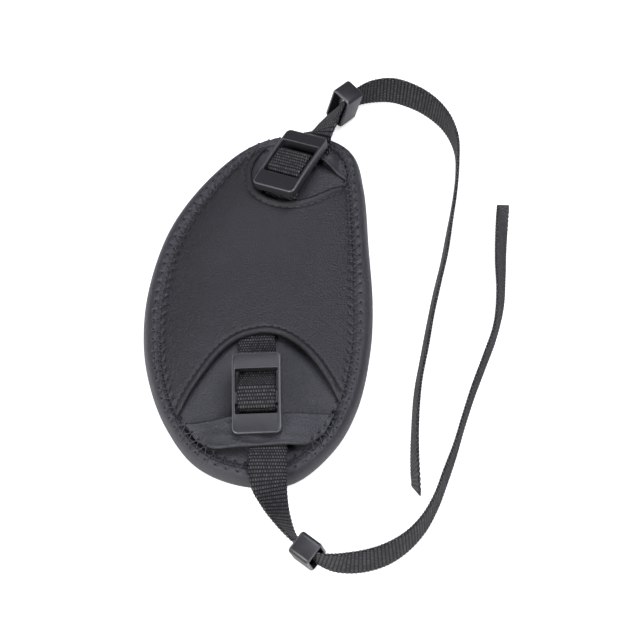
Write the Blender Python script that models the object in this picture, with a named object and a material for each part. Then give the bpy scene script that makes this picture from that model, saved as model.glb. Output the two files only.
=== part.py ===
# Camera hand grip strap, lying on its back as it would on a table.
# A padded, leather covered hand pad carries a sewn-on centre panel and two cross bands.
# A short webbing runs through a slide buckle at each end, and a long strap with a slanted,
# heat sealed tip leaves each end of the pad, passes through a keeper loop and stands on edge.
# Metres, +Z up out of the pad's front, +Y towards the pad's narrow upper end.

import math

import bmesh
import bpy
import numpy as np
from mathutils import Matrix, Vector

MM = 0.001

# Clearance between two pieces that touch
GAP = 0.3 * MM

# Pad: outline and sewn line as points in millimetres, anticlockwise from the right side
PAD_CENTRE = (0.0, 0.0)
PAD_OUTLINE = [
    (36.7, 0.0), (35.7, 22.0), (34.3, 45.0), (31.4, 56.6), (24.0, 62.3), (13.0, 64.0),
    (2.0, 62.4), (-8.8, 56.2), (-20.5, 43.4), (-29.6, 27.8), (-35.4, 7.0), (-36.7, -10.0),
    (-34.8, -26.0), (-28.8, -43.0), (-18.8, -56.8), (-4.2, -63.3), (10.9, -62.6),
    (23.9, -51.3), (31.4, -37.0), (35.7, -17.0),
]
SEAM_LINE = [
    (31.0, 2.0), (30.6, 23.0), (29.6, 42.0), (28.0, 54.5), (22.5, 59.5), (13.0, 61.1),
    (4.0, 60.1), (-4.5, 55.2), (-16.7, 39.9), (-25.2, 24.7), (-29.9, 8.0), (-31.6, -10.0),
    (-29.6, -30.0), (-24.6, -44.0), (-15.8, -54.9), (-4.2, -59.6), (8.5, -59.2),
    (20.3, -50.0), (26.8, -36.0), (30.4, -18.0),
]
FIELD_HEIGHT = 7.8 * MM
BORDER_HEIGHT = 9.4 * MM
COVER_THICKNESS = 1.0 * MM
LINING_THICKNESS = 1.0 * MM
FOAM_CLEARANCE = 0.42 * MM
RIM_FOLD = 2.2 * MM
PAD_POINTS = 72
FIELD_RING_INSET = 18 * MM

# Centre panel with its two arched edges, left end to right end
PANEL_THICKNESS = 1.1 * MM
PANEL_CROWN = 2.0 * MM
PANEL_INSET = 0.5 * MM
PANEL_FLAT_EDGE = 2.4 * MM
PANEL_CROWN_RUN = 9.0 * MM
HEM_WIDTH = 2.4 * MM
HEM_RISE = 0.7 * MM
UPPER_ARCH = [
    (3.4, 59.6), (0.6, 56.4), (-1.8, 51.5), (-2.7, 46.5), (-1.8, 42.0), (1.2, 38.2),
    (6.0, 36.0), (11.5, 35.7), (17.5, 37.5), (23.5, 40.6), (29.6, 44.2),
]
LOWER_ARCH = [
    (-24.6, -43.0), (-20.6, -35.0), (-16.2, -27.8), (-11.6, -21.2), (-6.2, -16.4), (-1.0, -14.4),
    (3.6, -14.0), (8.2, -15.4), (12.8, -18.7), (17.4, -23.6), (21.9, -30.6), (26.4, -38.4),
]

# Cross bands: inner and outer edges, left end to right end
BAND_THICKNESS = 0.9 * MM
BAND_EASE = 4.0 * MM
BAND_HALF_FLAT = 8.3 * MM
BAND_LIFT_SIDE = 1.5 * MM
LOWER_BAND_INNER = [(-22.3, -45.6), (-8.0, -44.3), (8.0, -43.3), (24.2, -42.0)]
LOWER_BAND_OUTER = [(-18.6, -51.0), (-13.5, -54.2), (-3.0, -54.3), (8.0, -53.6), (15.5, -53.0), (21.0, -48.6)]
UPPER_BAND_INNER = [(5.8, 54.8), (12.5, 53.8), (19.6, 52.2), (23.6, 50.0), (28.3, 45.4)]
UPPER_BAND_OUTER = [
    (7.0, 57.0), (9.8, 57.8), (13.7, 56.5), (16.8, 54.9), (20.0, 53.4), (22.8, 52.2), (25.0, 53.0), (26.1, 51.8),
    (28.2, 47.8),
]

# Webbing
WEB_WIDTH = 12.0 * MM
WEB_THICKNESS = 1.2 * MM
UPPER_TIP_SLANT = -9.0 * MM
LOWER_TIP_SLANT = 7.5 * MM
SLANT_FADE = 0.6
TACK_LENGTH = 9.0 * MM
TACK_WIDTH = 2.4 * MM
TACK_THICKNESS = 0.2 * MM
TACK_SETBACK = 3.0 * MM

# Slide buckles
BUCKLE_WIDTH = 15.2 * MM
BUCKLE_LENGTH = 26.0 * MM
BUCKLE_THICKNESS = 3.6 * MM
BUCKLE_CORNER = 1.7 * MM
BUCKLE_EDGE = 0.5 * MM
WINDOW_WIDTH = 13.4 * MM
WINDOW_LENGTH = 14.8 * MM
WINDOW_OFFSET = 0.5 * MM
BAR_LENGTH = 5.0 * MM
BAR_OFFSET = -1.6 * MM
BAR_TOP = 0.2 * MM
LOWER_BUCKLE = {"at": (0.1, -38.7), "heading": 91.0, "slope": 10.0, "roll": 4.0}
UPPER_BUCKLE = {"at": (10.2, 46.9), "heading": 63.0, "slope": -6.0, "roll": 13.0}
BUCKLE_SEAT = 0.9 * MM

# Keeper loops on the long straps
KEEPER_LENGTH = 6.5 * MM
KEEPER_DEPTH = 7.0 * MM
KEEPER_WALL = 1.2 * MM
KEEPER_END_WALL = 0.9 * MM
KEEPER_SPARE = 0.35 * MM
KEEPER_CORNER = 1.1 * MM
KEEPER_EDGE = 0.35 * MM
UPPER_KEEPER_ALONG = 26.5 * MM
LOWER_KEEPER_ALONG = 43.8 * MM

# Sewing
THREAD_RADIUS = 0.2 * MM
ZIGZAG_COUNT = 88
ZIGZAG_SPAN = 3.4 * MM
HEM_STITCH_INSET = 2.7 * MM
HEM_STITCH_CLEAR = 2.8 * MM

# The short webbing's way to and from each buckle: millimetres along it, and over the field
TURN_RADIUS = 1.2 * MM
WEB_TURN_HEIGHT = 5 * MM
WEB_SECTIONS = 84
LOWER_APPROACH = [
    (34.5, 0), (30.5, 0), (27.0, 0), (24.4, 0.05), (22.3, 0.35), (20.0, 1.1), (16.2, 2.6), (10.0, 4.7),
    (5.6, 6.6),
]
LOWER_LEAVE = [
    (-4.1, 5.3), (-3.7, 3.4), (-3.9, 2.0), (-4.8, 0.75), (-6.4, 0.1), (-9.0, 0), (-13.5, 0), (-18.6, 0),
]
UPPER_APPROACH = [
    (-25.0, 0), (-20.0, 0), (-15.0, 0), (-12.0, 0.0), (-10.4, 0.02), (-9.3, 0.33), (-8.1, 1.9), (-7.0, 4.1),
    (-5.9, 6.2),
]
UPPER_LEAVE = [
    (3.2, 4.6), (4.0, 2.4), (4.9, 0.9), (6.4, 0.08), (8.0, 0), (9.4, 0),
]

# The long straps' free routes in millimetres: x, y, height of the middle, lean in degrees.
# A lean of 0 lies flat, and 90 stands on edge with the right side of the way ahead on top.
UPPER_ROUTE = [
    (16.2, 54.5, 10.15, 0), (17.2, 56.5, 10.75, 0), (18.2, 58.5, 12.0, 5), (19.3, 60.5, 12.9, 15),
    (20.6, 62.8, 12.6, 32), (21.7, 65.9, 11.0, 44), (23.3, 69.6, 9.95, 54), (25.4, 73.5, 8.95, 63),
    (28.4, 77.0, 8.1, 74), (32.5, 80.3, 7.35, 85), (37.7, 82.7, 6.8, 94), (44.2, 83.4, 6.5, 99),
    (50.6, 81.2, 6.5, 99), (56.9, 77.0, 6.5, 97), (62.4, 70.4, 6.4, 93), (65.5, 61.5, 6.3, 90),
    (65.5, 51.0, 6.3, 89), (64.2, 40.0, 6.3, 92), (62.2, 28.6, 6.3, 95), (60.1, 16.8, 6.3, 98),
    (57.4, 5.2, 6.3, 99), (54.9, -6.6, 6.3, 98), (52.7, -18.5, 6.3, 99), (50.4, -30.6, 6.3, 98),
    (49.2, -43.0, 6.3, 97), (48.7, -55.0, 6.3, 98), (48.9, -67.0, 6.3, 98),
]
LOWER_ROUTE = [
    (3.2, -48.0, 10.2, 0), (3.5, -52.6, 10.2, 0), (3.6, -54.8, 10.35, 0), (3.6, -57.0, 11.1, 0),
    (3.6, -60.0, 11.45, 0), (3.6, -62.8, 11.4, 2), (3.9, -66.2, 10.8, 14), (5.0, -70.5, 9.6, 32),
    (6.9, -75.7, 8.8, 48), (9.7, -81.2, 8.5, 62), (13.5, -86.0, 8.35, 70), (17.6, -89.3, 8.1, 79),
    (22.3, -90.8, 7.4, 90), (27.6, -90.9, 6.7, 98), (33.3, -90.1, 6.5, 101), (39.6, -87.9, 6.5, 101),
    (45.8, -83.7, 6.5, 98), (51.0, -77.7, 6.4, 96), (54.9, -70.4, 6.4, 95), (57.9, -62.3, 6.3, 95),
    (61.1, -53.3, 6.3, 93), (64.0, -43.6, 6.3, 92), (67.3, -33.2, 6.3, 92), (71.3, -22.3, 6.3, 92),
    (75.3, -10.9, 6.3, 94), (77.5, 1.0, 6.3, 103), (78.1, 12.6, 6.2, 109), (78.8, 23.8, 6.2, 110),
    (80.1, 37.2, 6.2, 111),
]
ROUTE_STEPS = 3

# Colours read off the real thing
LEATHER = (0.055, 0.056, 0.066)
PANEL_LEATHER = (0.048, 0.049, 0.057)
WEBBING = (0.045, 0.045, 0.049)
PLASTIC = (0.05, 0.05, 0.055)
THREAD = (0.035, 0.035, 0.04)
FOAM = (0.12, 0.12, 0.12)
LINING = (0.03, 0.03, 0.033)


# Curves and small helpers


def mix(one, other, first, last, at):
    """The value at a place between first, where it is one, and last, where it is the other."""
    return (one * (last - at) + other * (at - first)) / (last - first)


def between(before, start, end, after, share):
    """A point between start and end on the smooth curve through the four, which never overshoots
    where the points lie at uneven distances."""
    points = [before, start, end, after]
    knots = [0.0]
    for one, other in zip(points, points[1:]):
        knots.append(knots[-1] + max(1e-6, math.sqrt(np.linalg.norm((other - one)[:3]))))
    at = knots[1] + (knots[2] - knots[1]) * share
    lines = [mix(points[i], points[i + 1], knots[i], knots[i + 1], at) for i in range(3)]
    curves = [mix(lines[i], lines[i + 1], knots[i], knots[i + 2], at) for i in range(2)]
    return mix(curves[0], curves[1], knots[1], knots[2], at)


def smooth_points(points, steps, closed=False):
    """The smooth curve through the points, with so many steps from each one to the next."""
    given = [np.array(point, float) for point in points]
    if closed:
        padded = [given[-1], *given, given[0], given[1]]
    else:
        padded = [2 * given[0] - given[1], *given, 2 * given[-1] - given[-2]]
    out = []
    for before, start, end, after in zip(padded, padded[1:], padded[2:], padded[3:]):
        for step in range(steps):
            out.append(between(before, start, end, after, step / steps))
    if not closed:
        out.append(given[-1])
    return np.array(out)


def even_points(points, count, closed=False):
    """The same curve with so many points at even distances along it."""
    line = np.vstack([points, points[:1]]) if closed else np.array(points)
    lengths = np.linalg.norm(np.diff(line, axis=0), axis=1)
    along = np.concatenate([[0.0], np.cumsum(lengths)])
    wanted = np.linspace(0.0, along[-1], count, endpoint=not closed)
    return np.array([[np.interp(w, along, line[:, k]) for k in range(line.shape[1])] for w in wanted])


def ease(share):
    """0 below 0, 1 above 1 and a smooth step between."""
    share = min(max(share, 0.0), 1.0)
    return share * share * (3 - 2 * share)


def polar(points):
    """A closed curve as a table of radius by angle about the pad's centre."""
    line = smooth_points(points, 24, closed=True) * MM - np.array(PAD_CENTRE) * MM
    angles = np.arctan2(line[:, 1], line[:, 0])
    order = np.argsort(angles)
    return angles[order], np.hypot(line[:, 0], line[:, 1])[order]


OUTLINE_TABLE = polar(PAD_OUTLINE)
SEAM_TABLE = polar(SEAM_LINE)


def radius_at(table, angle):
    return float(np.interp(angle, table[0], table[1], period=2 * math.pi))


def on_ray(angle, radius, height):
    return Vector((
        PAD_CENTRE[0] * MM + radius * math.cos(angle),
        PAD_CENTRE[1] * MM + radius * math.sin(angle),
        height,
    ))


def inside_seam(x, y):
    """How far a point lies inside the sewn line, along its ray from the centre."""
    dx = x - PAD_CENTRE[0] * MM
    dy = y - PAD_CENTRE[1] * MM
    return radius_at(SEAM_TABLE, math.atan2(dy, dx)) - math.hypot(dx, dy)


def material(name, colour, roughness, metallic=0.0):
    made = bpy.data.materials.new(name)
    made.use_nodes = True
    shader = made.node_tree.nodes["Principled BSDF"]
    shader.inputs["Base Color"].default_value = (*colour, 1.0)
    shader.inputs["Roughness"].default_value = roughness
    shader.inputs["Metallic"].default_value = metallic
    return made


def add_object(name, vertices, faces, look, smooth=True):
    """One closed body with its faces pointing out."""
    mesh = bpy.data.meshes.new(name)
    mesh.from_pydata([tuple(v) for v in vertices], [], faces)
    mesh.update()
    bm = bmesh.new()
    bm.from_mesh(mesh)
    bmesh.ops.recalc_face_normals(bm, faces=bm.faces)
    if bm.calc_volume(signed=True) < 0:
        bmesh.ops.reverse_faces(bm, faces=bm.faces)
    bm.to_mesh(mesh)
    bm.free()
    if smooth:
        mesh.shade_smooth()
        mesh.set_sharp_from_angle(angle=math.radians(35))
    mesh.materials.append(look)
    made = bpy.data.objects.new(name, mesh)
    bpy.context.collection.objects.link(made)
    return made


def stacked_rings(rings, closed_ends=True, closed_stack=False):
    """Vertices and faces of a skin through rings that all have the same number of points."""
    count = len(rings[0])
    vertices = [point for ring in rings for point in ring]
    faces = []
    pairs = list(zip(range(len(rings) - 1), range(1, len(rings))))
    if closed_stack:
        pairs.append((len(rings) - 1, 0))
    for a, b in pairs:
        for i in range(count):
            j = (i + 1) % count
            faces.append((a * count + i, a * count + j, b * count + j, b * count + i))
    if closed_ends and not closed_stack:
        faces.append(tuple(range(count)))
        faces.append(tuple((len(rings) - 1) * count + i for i in range(count)))
    return vertices, faces


def slab(name, lower, upper, look):
    """A thick sheet from two grids of points, the lower and the upper skin, of the same size."""
    rows = len(lower)
    columns = len(lower[0])
    vertices = [p for row in lower for p in row] + [p for row in upper for p in row]
    top = rows * columns
    faces = []
    for i in range(rows - 1):
        for j in range(columns - 1):
            a = i * columns + j
            quad = (a, a + 1, a + 1 + columns, a + columns)
            faces.append(quad[::-1])
            faces.append(tuple(k + top for k in quad))
    rim = [j for j in range(columns)]
    rim += [i * columns + columns - 1 for i in range(1, rows)]
    rim += [(rows - 1) * columns + j for j in range(columns - 2, -1, -1)]
    rim += [i * columns for i in range(rows - 2, 0, -1)]
    for a, b in zip(rim, rim[1:] + rim[:1]):
        faces.append((a, b, b + top, a + top))
    return add_object(name, vertices, faces, look)


def tube(name, points, radius, look, sides=6):
    """A round thread along a line of points, closed at both ends."""
    rings = []
    for i, point in enumerate(points):
        ahead = points[min(i + 1, len(points) - 1)] - points[max(i - 1, 0)]
        ahead.normalize()
        side = ahead.cross(Vector((0, 0, 1))).normalized()
        up = side.cross(ahead)
        turns = [2 * math.pi * k / sides for k in range(sides)]
        rings.append([point + side * radius * math.cos(t) + up * radius * math.sin(t) for t in turns])
    vertices, faces = stacked_rings(rings)
    return add_object(name, vertices, faces, look)


# Pad


PAD_ANGLES = [
    math.atan2(p[1] - PAD_CENTRE[1], p[0] - PAD_CENTRE[0])
    for p in even_points(smooth_points(PAD_OUTLINE, 24, closed=True), PAD_POINTS, closed=True)
]
# Share of the way from the outline to the sewn line, and the height of the cover there
CREST_SHARE = 0.58
BORDER_PROFILE = [
    (0.0, 0.53), (0.07, 0.72), (0.2, 0.88), (0.38, 0.965), (CREST_SHARE, 1.0), (0.78, 0.955),
]


def pad_ring(share, inset, height):
    """A ring at a share of the border's width. inset moves it in on the pad's outer side and out on
    the inner slope, as the skin turns."""
    inset = inset * (1 - share / CREST_SHARE)
    ring = []
    for angle in PAD_ANGLES:
        outer = radius_at(OUTLINE_TABLE, angle)
        seam = radius_at(SEAM_TABLE, angle)
        ring.append(on_ray(angle, outer - share * (outer - seam) - inset, height))
    return ring


def seam_ring(inset, height):
    return [on_ray(a, radius_at(SEAM_TABLE, a) - inset, height) for a in PAD_ANGLES]


def skin_rings(inset, drop, bottom):
    """The rings of the pad's skin from the middle of its front down to the bottom edge."""
    shoulder = [
        pad_ring(share, inset, BORDER_HEIGHT * level - drop) for share, level in BORDER_PROFILE
    ]
    field = [
        seam_ring(FIELD_RING_INSET, FIELD_HEIGHT - drop),
        seam_ring(PANEL_INSET, FIELD_HEIGHT - drop),
        seam_ring(-0.1 * MM - 0.6 * inset, FIELD_HEIGHT - drop),
    ]
    wall = [
        pad_ring(0.0, inset, 0.28 * BORDER_HEIGHT),
        pad_ring(0.0, inset + 0.25 * MM, max(bottom, 0.09 * BORDER_HEIGHT)),
        pad_ring(0.0, inset + 0.9 * MM, bottom),
    ]
    return field + shoulder[::-1] + wall


def make_base_cover(look):
    """The leather cover, drawn over the front and sides and turned in under the back edge."""
    outer = skin_rings(0.0, 0.0, 0.0)
    inner = skin_rings(COVER_THICKNESS, COVER_THICKNESS, 0.0)
    inner = inner[:-2]
    rim = [
        pad_ring(0.0, RIM_FOLD, 0.0),
        pad_ring(0.0, RIM_FOLD, COVER_THICKNESS),
        pad_ring(0.0, COVER_THICKNESS + 0.3 * MM, COVER_THICKNESS),
    ]
    vertices, faces = stacked_rings(outer + rim + inner[::-1])
    return add_object("base_cover", vertices, faces, look)


def make_foam_core(look):
    inset = COVER_THICKNESS + FOAM_CLEARANCE
    rings = skin_rings(inset, inset, LINING_THICKNESS + GAP)
    vertices, faces = stacked_rings(rings[:-2] + [pad_ring(0.0, inset + 0.4 * MM, LINING_THICKNESS + GAP)])
    return add_object("foam_core", vertices, faces, look)


def make_rear_lining(look):
    inset = RIM_FOLD + GAP
    rings = [pad_ring(0.0, inset, 0.0), pad_ring(0.0, inset, LINING_THICKNESS)]
    vertices, faces = stacked_rings(rings)
    return add_object("rear_lining", vertices, faces, look)


# Centre panel


def edge_angle(point):
    return math.atan2(point[1] - PAD_CENTRE[1], point[0] - PAD_CENTRE[0])


def panel_corner(point):
    """The end of an arched edge, moved onto the panel's sewn side."""
    angle = edge_angle(point)
    at = on_ray(angle, radius_at(SEAM_TABLE, angle) - PANEL_INSET, 0.0)
    return at.x / MM, at.y / MM


def arch_line(points, count):
    ends_set = [panel_corner(points[0]), *points[1:-1], panel_corner(points[-1])]
    return even_points(smooth_points(ends_set, 12), count) * MM


def side_line(start, end, count, through_left):
    """The panel's sewn side from one arch to the other."""
    first = edge_angle(start)
    last = edge_angle(end)
    if through_left and last < first:
        last += 2 * math.pi
    line = []
    for k in range(count):
        angle = first + (last - first) * k / (count - 1)
        at = on_ray(angle, radius_at(SEAM_TABLE, angle) - PANEL_INSET, 0.0)
        line.append((at.x, at.y))
    return even_points(np.array(line), count)


PANEL_COLUMNS = 27
PANEL_SHARES = [0.0, 0.012, 0.03, 0.046, 0.07]
PANEL_ROWS = PANEL_SHARES + [0.14 + 0.08 * k for k in range(10)] + [1 - s for s in PANEL_SHARES[::-1]]


def blend_grid(top, bottom, left, right, shares):
    """Points between four edges: top and bottom run left to right, the sides run top to bottom."""
    grid = []
    columns = len(top)
    for share in shares:
        place = share * (len(left) - 1)
        k = min(int(place), len(left) - 2)
        on_left = left[k] + (left[k + 1] - left[k]) * (place - k)
        on_right = right[k] + (right[k + 1] - right[k]) * (place - k)
        row = []
        for j in range(columns):
            s = j / (columns - 1)
            ruled = (1 - share) * top[j] + share * bottom[j]
            across = (1 - s) * on_left + s * on_right
            corners = (1 - share) * ((1 - s) * top[0] + s * top[-1])
            corners = corners + share * ((1 - s) * bottom[0] + s * bottom[-1])
            row.append(ruled + across - corners)
        grid.append(row)
    return grid


def panel_floor(x, y):
    """Height of the panel's back: close to the field at the sides and arched over the webbing."""
    inside = inside_seam(x, y) - PANEL_FLAT_EDGE
    return FIELD_HEIGHT + GAP + PANEL_CROWN * ease(inside / PANEL_CROWN_RUN)


def nearest(line, x, y):
    return float(np.min(np.hypot(line[:, 0] - x, line[:, 1] - y)))


def panel_top(x, y, arches):
    """Height of the panel's front, thicker along the folded hems."""
    off = min(nearest(arch, x, y) for arch in arches)
    rise = HEM_RISE * (1 - ease((off - 0.45 * HEM_WIDTH) / (0.6 * HEM_WIDTH)))
    rise *= ease((inside_seam(x, y) - 2.2 * MM) / (3 * MM))
    rounding = 0.35 * MM * (1 - min(off / (0.3 * HEM_WIDTH), 1.0))
    return panel_floor(x, y) + PANEL_THICKNESS + rise - rounding


def make_centre_panel(look):
    top = arch_line(UPPER_ARCH, PANEL_COLUMNS)
    bottom = arch_line(LOWER_ARCH, PANEL_COLUMNS)
    dense = [arch_line(UPPER_ARCH, 200), arch_line(LOWER_ARCH, 200)]
    left = side_line(UPPER_ARCH[0], LOWER_ARCH[0], 60, True)
    right = side_line(UPPER_ARCH[-1], LOWER_ARCH[-1], 60, False)
    grid = blend_grid(top, bottom, left, right, PANEL_ROWS)
    lower = [[Vector((x, y, panel_floor(x, y))) for x, y in row] for row in grid]
    upper = [[Vector((x, y, panel_top(x, y, dense))) for x, y in row] for row in grid]
    return slab("centre_panel", lower, upper, look)


def make_hem_thread(name, arch, inward, look):
    """The straight line of sewing along a hem, just above the panel."""
    line = arch_line(arch, 160)
    dense = [arch_line(UPPER_ARCH, 200), arch_line(LOWER_ARCH, 200)]
    ahead = np.gradient(line, axis=0)
    ahead /= np.linalg.norm(ahead, axis=1)[:, None]
    side = np.column_stack([-ahead[:, 1], ahead[:, 0]]) * inward
    moved = line + side * HEM_STITCH_INSET
    clear = np.array([inside_seam(x, y) > HEM_STITCH_CLEAR for x, y in moved])
    moved = even_points(moved[clear], 44)
    points = []
    for x, y in moved:
        height = max(panel_top(x + dx, y + dy, dense) for dx, dy in ((0, 0), (0.3 * MM, 0), (-0.3 * MM, 0),
                                                                     (0, 0.3 * MM), (0, -0.3 * MM)))
        points.append(Vector((x, y, height + GAP + THREAD_RADIUS)))
    return tube(name, points, THREAD_RADIUS, look)


def make_border_thread(look):
    """The zigzag that sews the panel and the bands to the pad, one closed ring of thread."""
    height = BORDER_HEIGHT + GAP + THREAD_RADIUS
    loop = smooth_points(SEAM_LINE, 24, closed=True) * MM
    loop = even_points(loop, 2 * ZIGZAG_COUNT, closed=True)
    around = np.roll(loop, -1, axis=0) - np.roll(loop, 1, axis=0)
    around /= np.linalg.norm(around, axis=1)[:, None]
    inward = np.column_stack([-around[:, 1], around[:, 0]])
    reach = 0.5 * ZIGZAG_SPAN
    points = [
        loop[i] + inward[i] * (reach if i % 2 else -reach) for i in range(len(loop))
    ]
    rings = []
    for i, at in enumerate(points):
        back = at - points[i - 1]
        ahead = points[(i + 1) % len(points)] - at
        back = back / np.linalg.norm(back)
        ahead = ahead / np.linalg.norm(ahead)
        bend = np.array([-(back[1] + ahead[1]), back[0] + ahead[0]])
        bend /= np.linalg.norm(bend)
        square = np.array([-ahead[1], ahead[0]])
        reach_out = THREAD_RADIUS / max(0.4, float(bend @ square))
        mitre = Vector((*(bend * reach_out), 0.0))
        middle = Vector((*at, height))
        up = Vector((0, 0, THREAD_RADIUS))
        rings.append([middle + mitre, middle + up, middle - mitre, middle - up])
    vertices, faces = stacked_rings(rings, closed_ends=False, closed_stack=True)
    return add_object("border_thread", vertices, faces, look)


# Cross bands


BAND_LIFT = 2 * WEB_THICKNESS + 2 * GAP


def make_band(name, inner, outer, off_web, look, columns=25, rows=6):
    """A leather band, lifted over the webbing in the middle and flat on the pad at its ends.
    off_web gives how far a point lies from the webbing's middle."""
    inner_line = even_points(smooth_points(inner, 12), columns) * MM
    outer_line = even_points(smooth_points(outer, 12), columns) * MM
    lower = []
    upper = []
    for i in range(rows):
        share = i / (rows - 1)
        low_row = []
        top_row = []
        for a, b in zip(inner_line, outer_line):
            x, y = (1 - share) * a + share * b
            off = abs(off_web(x, y)) - BAND_HALF_FLAT
            floor = FIELD_HEIGHT + GAP + BAND_LIFT * (1 - ease(off / BAND_EASE))
            low_row.append(Vector((x, y, floor)))
            top_row.append(Vector((x, y, floor + BAND_THICKNESS)))
        lower.append(low_row)
        upper.append(top_row)
    return slab(name, lower, upper, look)


def off_axis(place):
    """How far a point lies across from the middle of a band's lift, which takes in the webbing and
    the long strap beside it, as a function."""
    turn = math.radians(place["heading"])
    x0, y0 = (value * MM for value in place["at"])
    return lambda x, y: (x - x0) * math.sin(turn) - (y - y0) * math.cos(turn) - BAND_LIFT_SIDE


# Buckles


def turned(heading, slope, roll):
    """Rotation of a buckle: its length along the heading, its far end up by slope and its right side
    up by roll."""
    along = Matrix.Rotation(math.radians(heading - 90), 3, "Z")
    tilt = Matrix.Rotation(math.radians(slope), 3, "X")
    rolled = Matrix.Rotation(math.radians(-roll), 3, "Y")
    return along @ tilt @ rolled


BAND_TOP = FIELD_HEIGHT + GAP + BAND_LIFT + BAND_THICKNESS


def buckle_frame(place):
    """Rotation and middle of a buckle whose lower end, or whose sloping end, rests on its band."""
    rotation = turned(place["heading"], place["slope"], place["roll"])
    corners = [
        rotation @ Vector((x, y, -BUCKLE_THICKNESS / 2))
        for x in (-WEB_WIDTH / 2, WEB_WIDTH / 2)
        for y in (-BUCKLE_LENGTH / 2 + BUCKLE_SEAT, BUCKLE_LENGTH / 2 - BUCKLE_SEAT)
    ]
    lowest = min(corner.z for corner in corners)
    seat = BAND_TOP + GAP
    middle = Vector((place["at"][0] * MM, place["at"][1] * MM, seat - lowest))
    return rotation, middle


def rounded_rectangle(width, length, corner, steps=4):
    """Points round a rectangle with round corners, anticlockwise, centred on the origin."""
    points = []
    for k, (sx, sy) in enumerate(((1, 1), (-1, 1), (-1, -1), (1, -1))):
        cx = sx * (width / 2 - corner)
        cy = sy * (length / 2 - corner)
        for i in range(steps + 1):
            angle = math.pi / 2 * (k + i / steps)
            points.append((cx + corner * math.cos(angle), cy + corner * math.sin(angle)))
    return points


def box_cutter(name, low, high):
    vertices = [(x, y, z) for x in (low[0], high[0]) for y in (low[1], high[1]) for z in (low[2], high[2])]
    faces = [(0, 1, 3, 2), (4, 6, 7, 5), (0, 4, 5, 1), (2, 3, 7, 6), (0, 2, 6, 4), (1, 5, 7, 3)]
    mesh = bpy.data.meshes.new(name)
    mesh.from_pydata(vertices, [], faces)
    bm = bmesh.new()
    bm.from_mesh(mesh)
    bmesh.ops.recalc_face_normals(bm, faces=bm.faces)
    bm.to_mesh(mesh)
    bm.free()
    made = bpy.data.objects.new(name, mesh)
    made.hide_render = True
    made.display_type = "WIRE"
    bpy.context.collection.objects.link(made)
    return made


def make_buckle(name, place, look):
    """A slide buckle moulded in one: a frame with a lower, narrower bar across its window."""
    rotation, middle = buckle_frame(place)
    half = BUCKLE_THICKNESS / 2
    rings = []
    for height, inset in ((-half, BUCKLE_EDGE), (-half + BUCKLE_EDGE, 0.0), (half - BUCKLE_EDGE, 0.0),
                          (half, BUCKLE_EDGE)):
        outline = rounded_rectangle(BUCKLE_WIDTH - 2 * inset, BUCKLE_LENGTH - 2 * inset,
                                    BUCKLE_CORNER - inset)
        rings.append([Vector((x, y, height)) for x, y in outline])
    vertices, faces = stacked_rings(rings)
    buckle = add_object(name, vertices, faces, look)
    side = WINDOW_WIDTH / 2
    low = WINDOW_OFFSET - WINDOW_LENGTH / 2
    high = WINDOW_OFFSET + WINDOW_LENGTH / 2
    bar_low = WINDOW_OFFSET + BAR_OFFSET - BAR_LENGTH / 2
    bar_high = WINDOW_OFFSET + BAR_OFFSET + BAR_LENGTH / 2
    past = half + 1 * MM
    cuts = {
        "recess": ((-side, low, BAR_TOP), (side, high, past)),
        "near_slot": ((-side, low, -past), (side, bar_low, past)),
        "far_slot": ((-side, bar_high, -past), (side, high, past)),
    }
    for cut, (corner, opposite) in cuts.items():
        cutter = box_cutter(name + "_" + cut, corner, opposite)
        cutter.parent = buckle
        modifier = buckle.modifiers.new(cut, "BOOLEAN")
        modifier.operation = "DIFFERENCE"
        modifier.object = cutter
    buckle.matrix_world = Matrix.Translation(middle) @ rotation.to_4x4()
    return buckle


# Keepers


def strap_line(route):
    """Middle and width direction of a long strap, all along its route."""
    line = smooth_points(route, ROUTE_STEPS)
    centres = [Vector((x, y, z)) * MM for x, y, z, lean in line]
    widths = []
    for i, row in enumerate(line):
        lean = math.radians(row[3])
        ahead = centres[min(i + 1, len(centres) - 1)] - centres[max(i - 1, 0)]
        right = Vector((ahead.y, -ahead.x, 0)).normalized()
        widths.append(math.cos(lean) * right + math.sin(lean) * Vector((0, 0, 1)))
    return centres, widths


def keeper_frame(route, along):
    """Rotation and middle of a keeper so far along its strap: X along the strap, Y across its
    thickness and Z along its width."""
    centres, widths = strap_line(route)
    run = np.cumsum([0.0] + [(b - a).length for a, b in zip(centres, centres[1:])])

    def at(place, values):
        return Vector([np.interp(place, run, [value[k] for value in values]) for k in range(3)])

    start = at(along - KEEPER_LENGTH / 2, centres)
    end = at(along + KEEPER_LENGTH / 2, centres)
    ahead = (end - start).normalized()
    width = at(along, widths)
    width = (width - ahead * width.dot(ahead)).normalized()
    rotation = Matrix((ahead, width.cross(ahead), width)).transposed()
    return rotation, (start + end + 2 * at(along, centres)) / 4


def make_keeper(name, route, along, look):
    """A moulded loop round the strap, with room for the strap's second layer."""
    rotation, middle = keeper_frame(route, along)
    width = WEB_WIDTH + 2 * KEEPER_SPARE + 2 * KEEPER_END_WALL
    half = KEEPER_LENGTH / 2
    rings = []
    outer = ((-half, KEEPER_EDGE), (-half + KEEPER_EDGE, 0.0), (half - KEEPER_EDGE, 0.0), (half, KEEPER_EDGE))
    for along, inset in outer:
        outline = rounded_rectangle(KEEPER_DEPTH - 2 * inset, width - 2 * inset, KEEPER_CORNER - inset)
        rings.append([Vector((along, y, z)) for y, z in outline])
    hole = rounded_rectangle(KEEPER_DEPTH - 2 * KEEPER_WALL, width - 2 * KEEPER_END_WALL, 0.4 * MM)
    for along in (half, -half):
        rings.append([Vector((along, y, z)) for y, z in hole])
    vertices, faces = stacked_rings(rings, closed_ends=False, closed_stack=True)
    keeper = add_object(name, vertices, faces, look)
    keeper.matrix_world = Matrix.Translation(middle) @ rotation.to_4x4()
    return keeper


# Webbing


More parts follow.
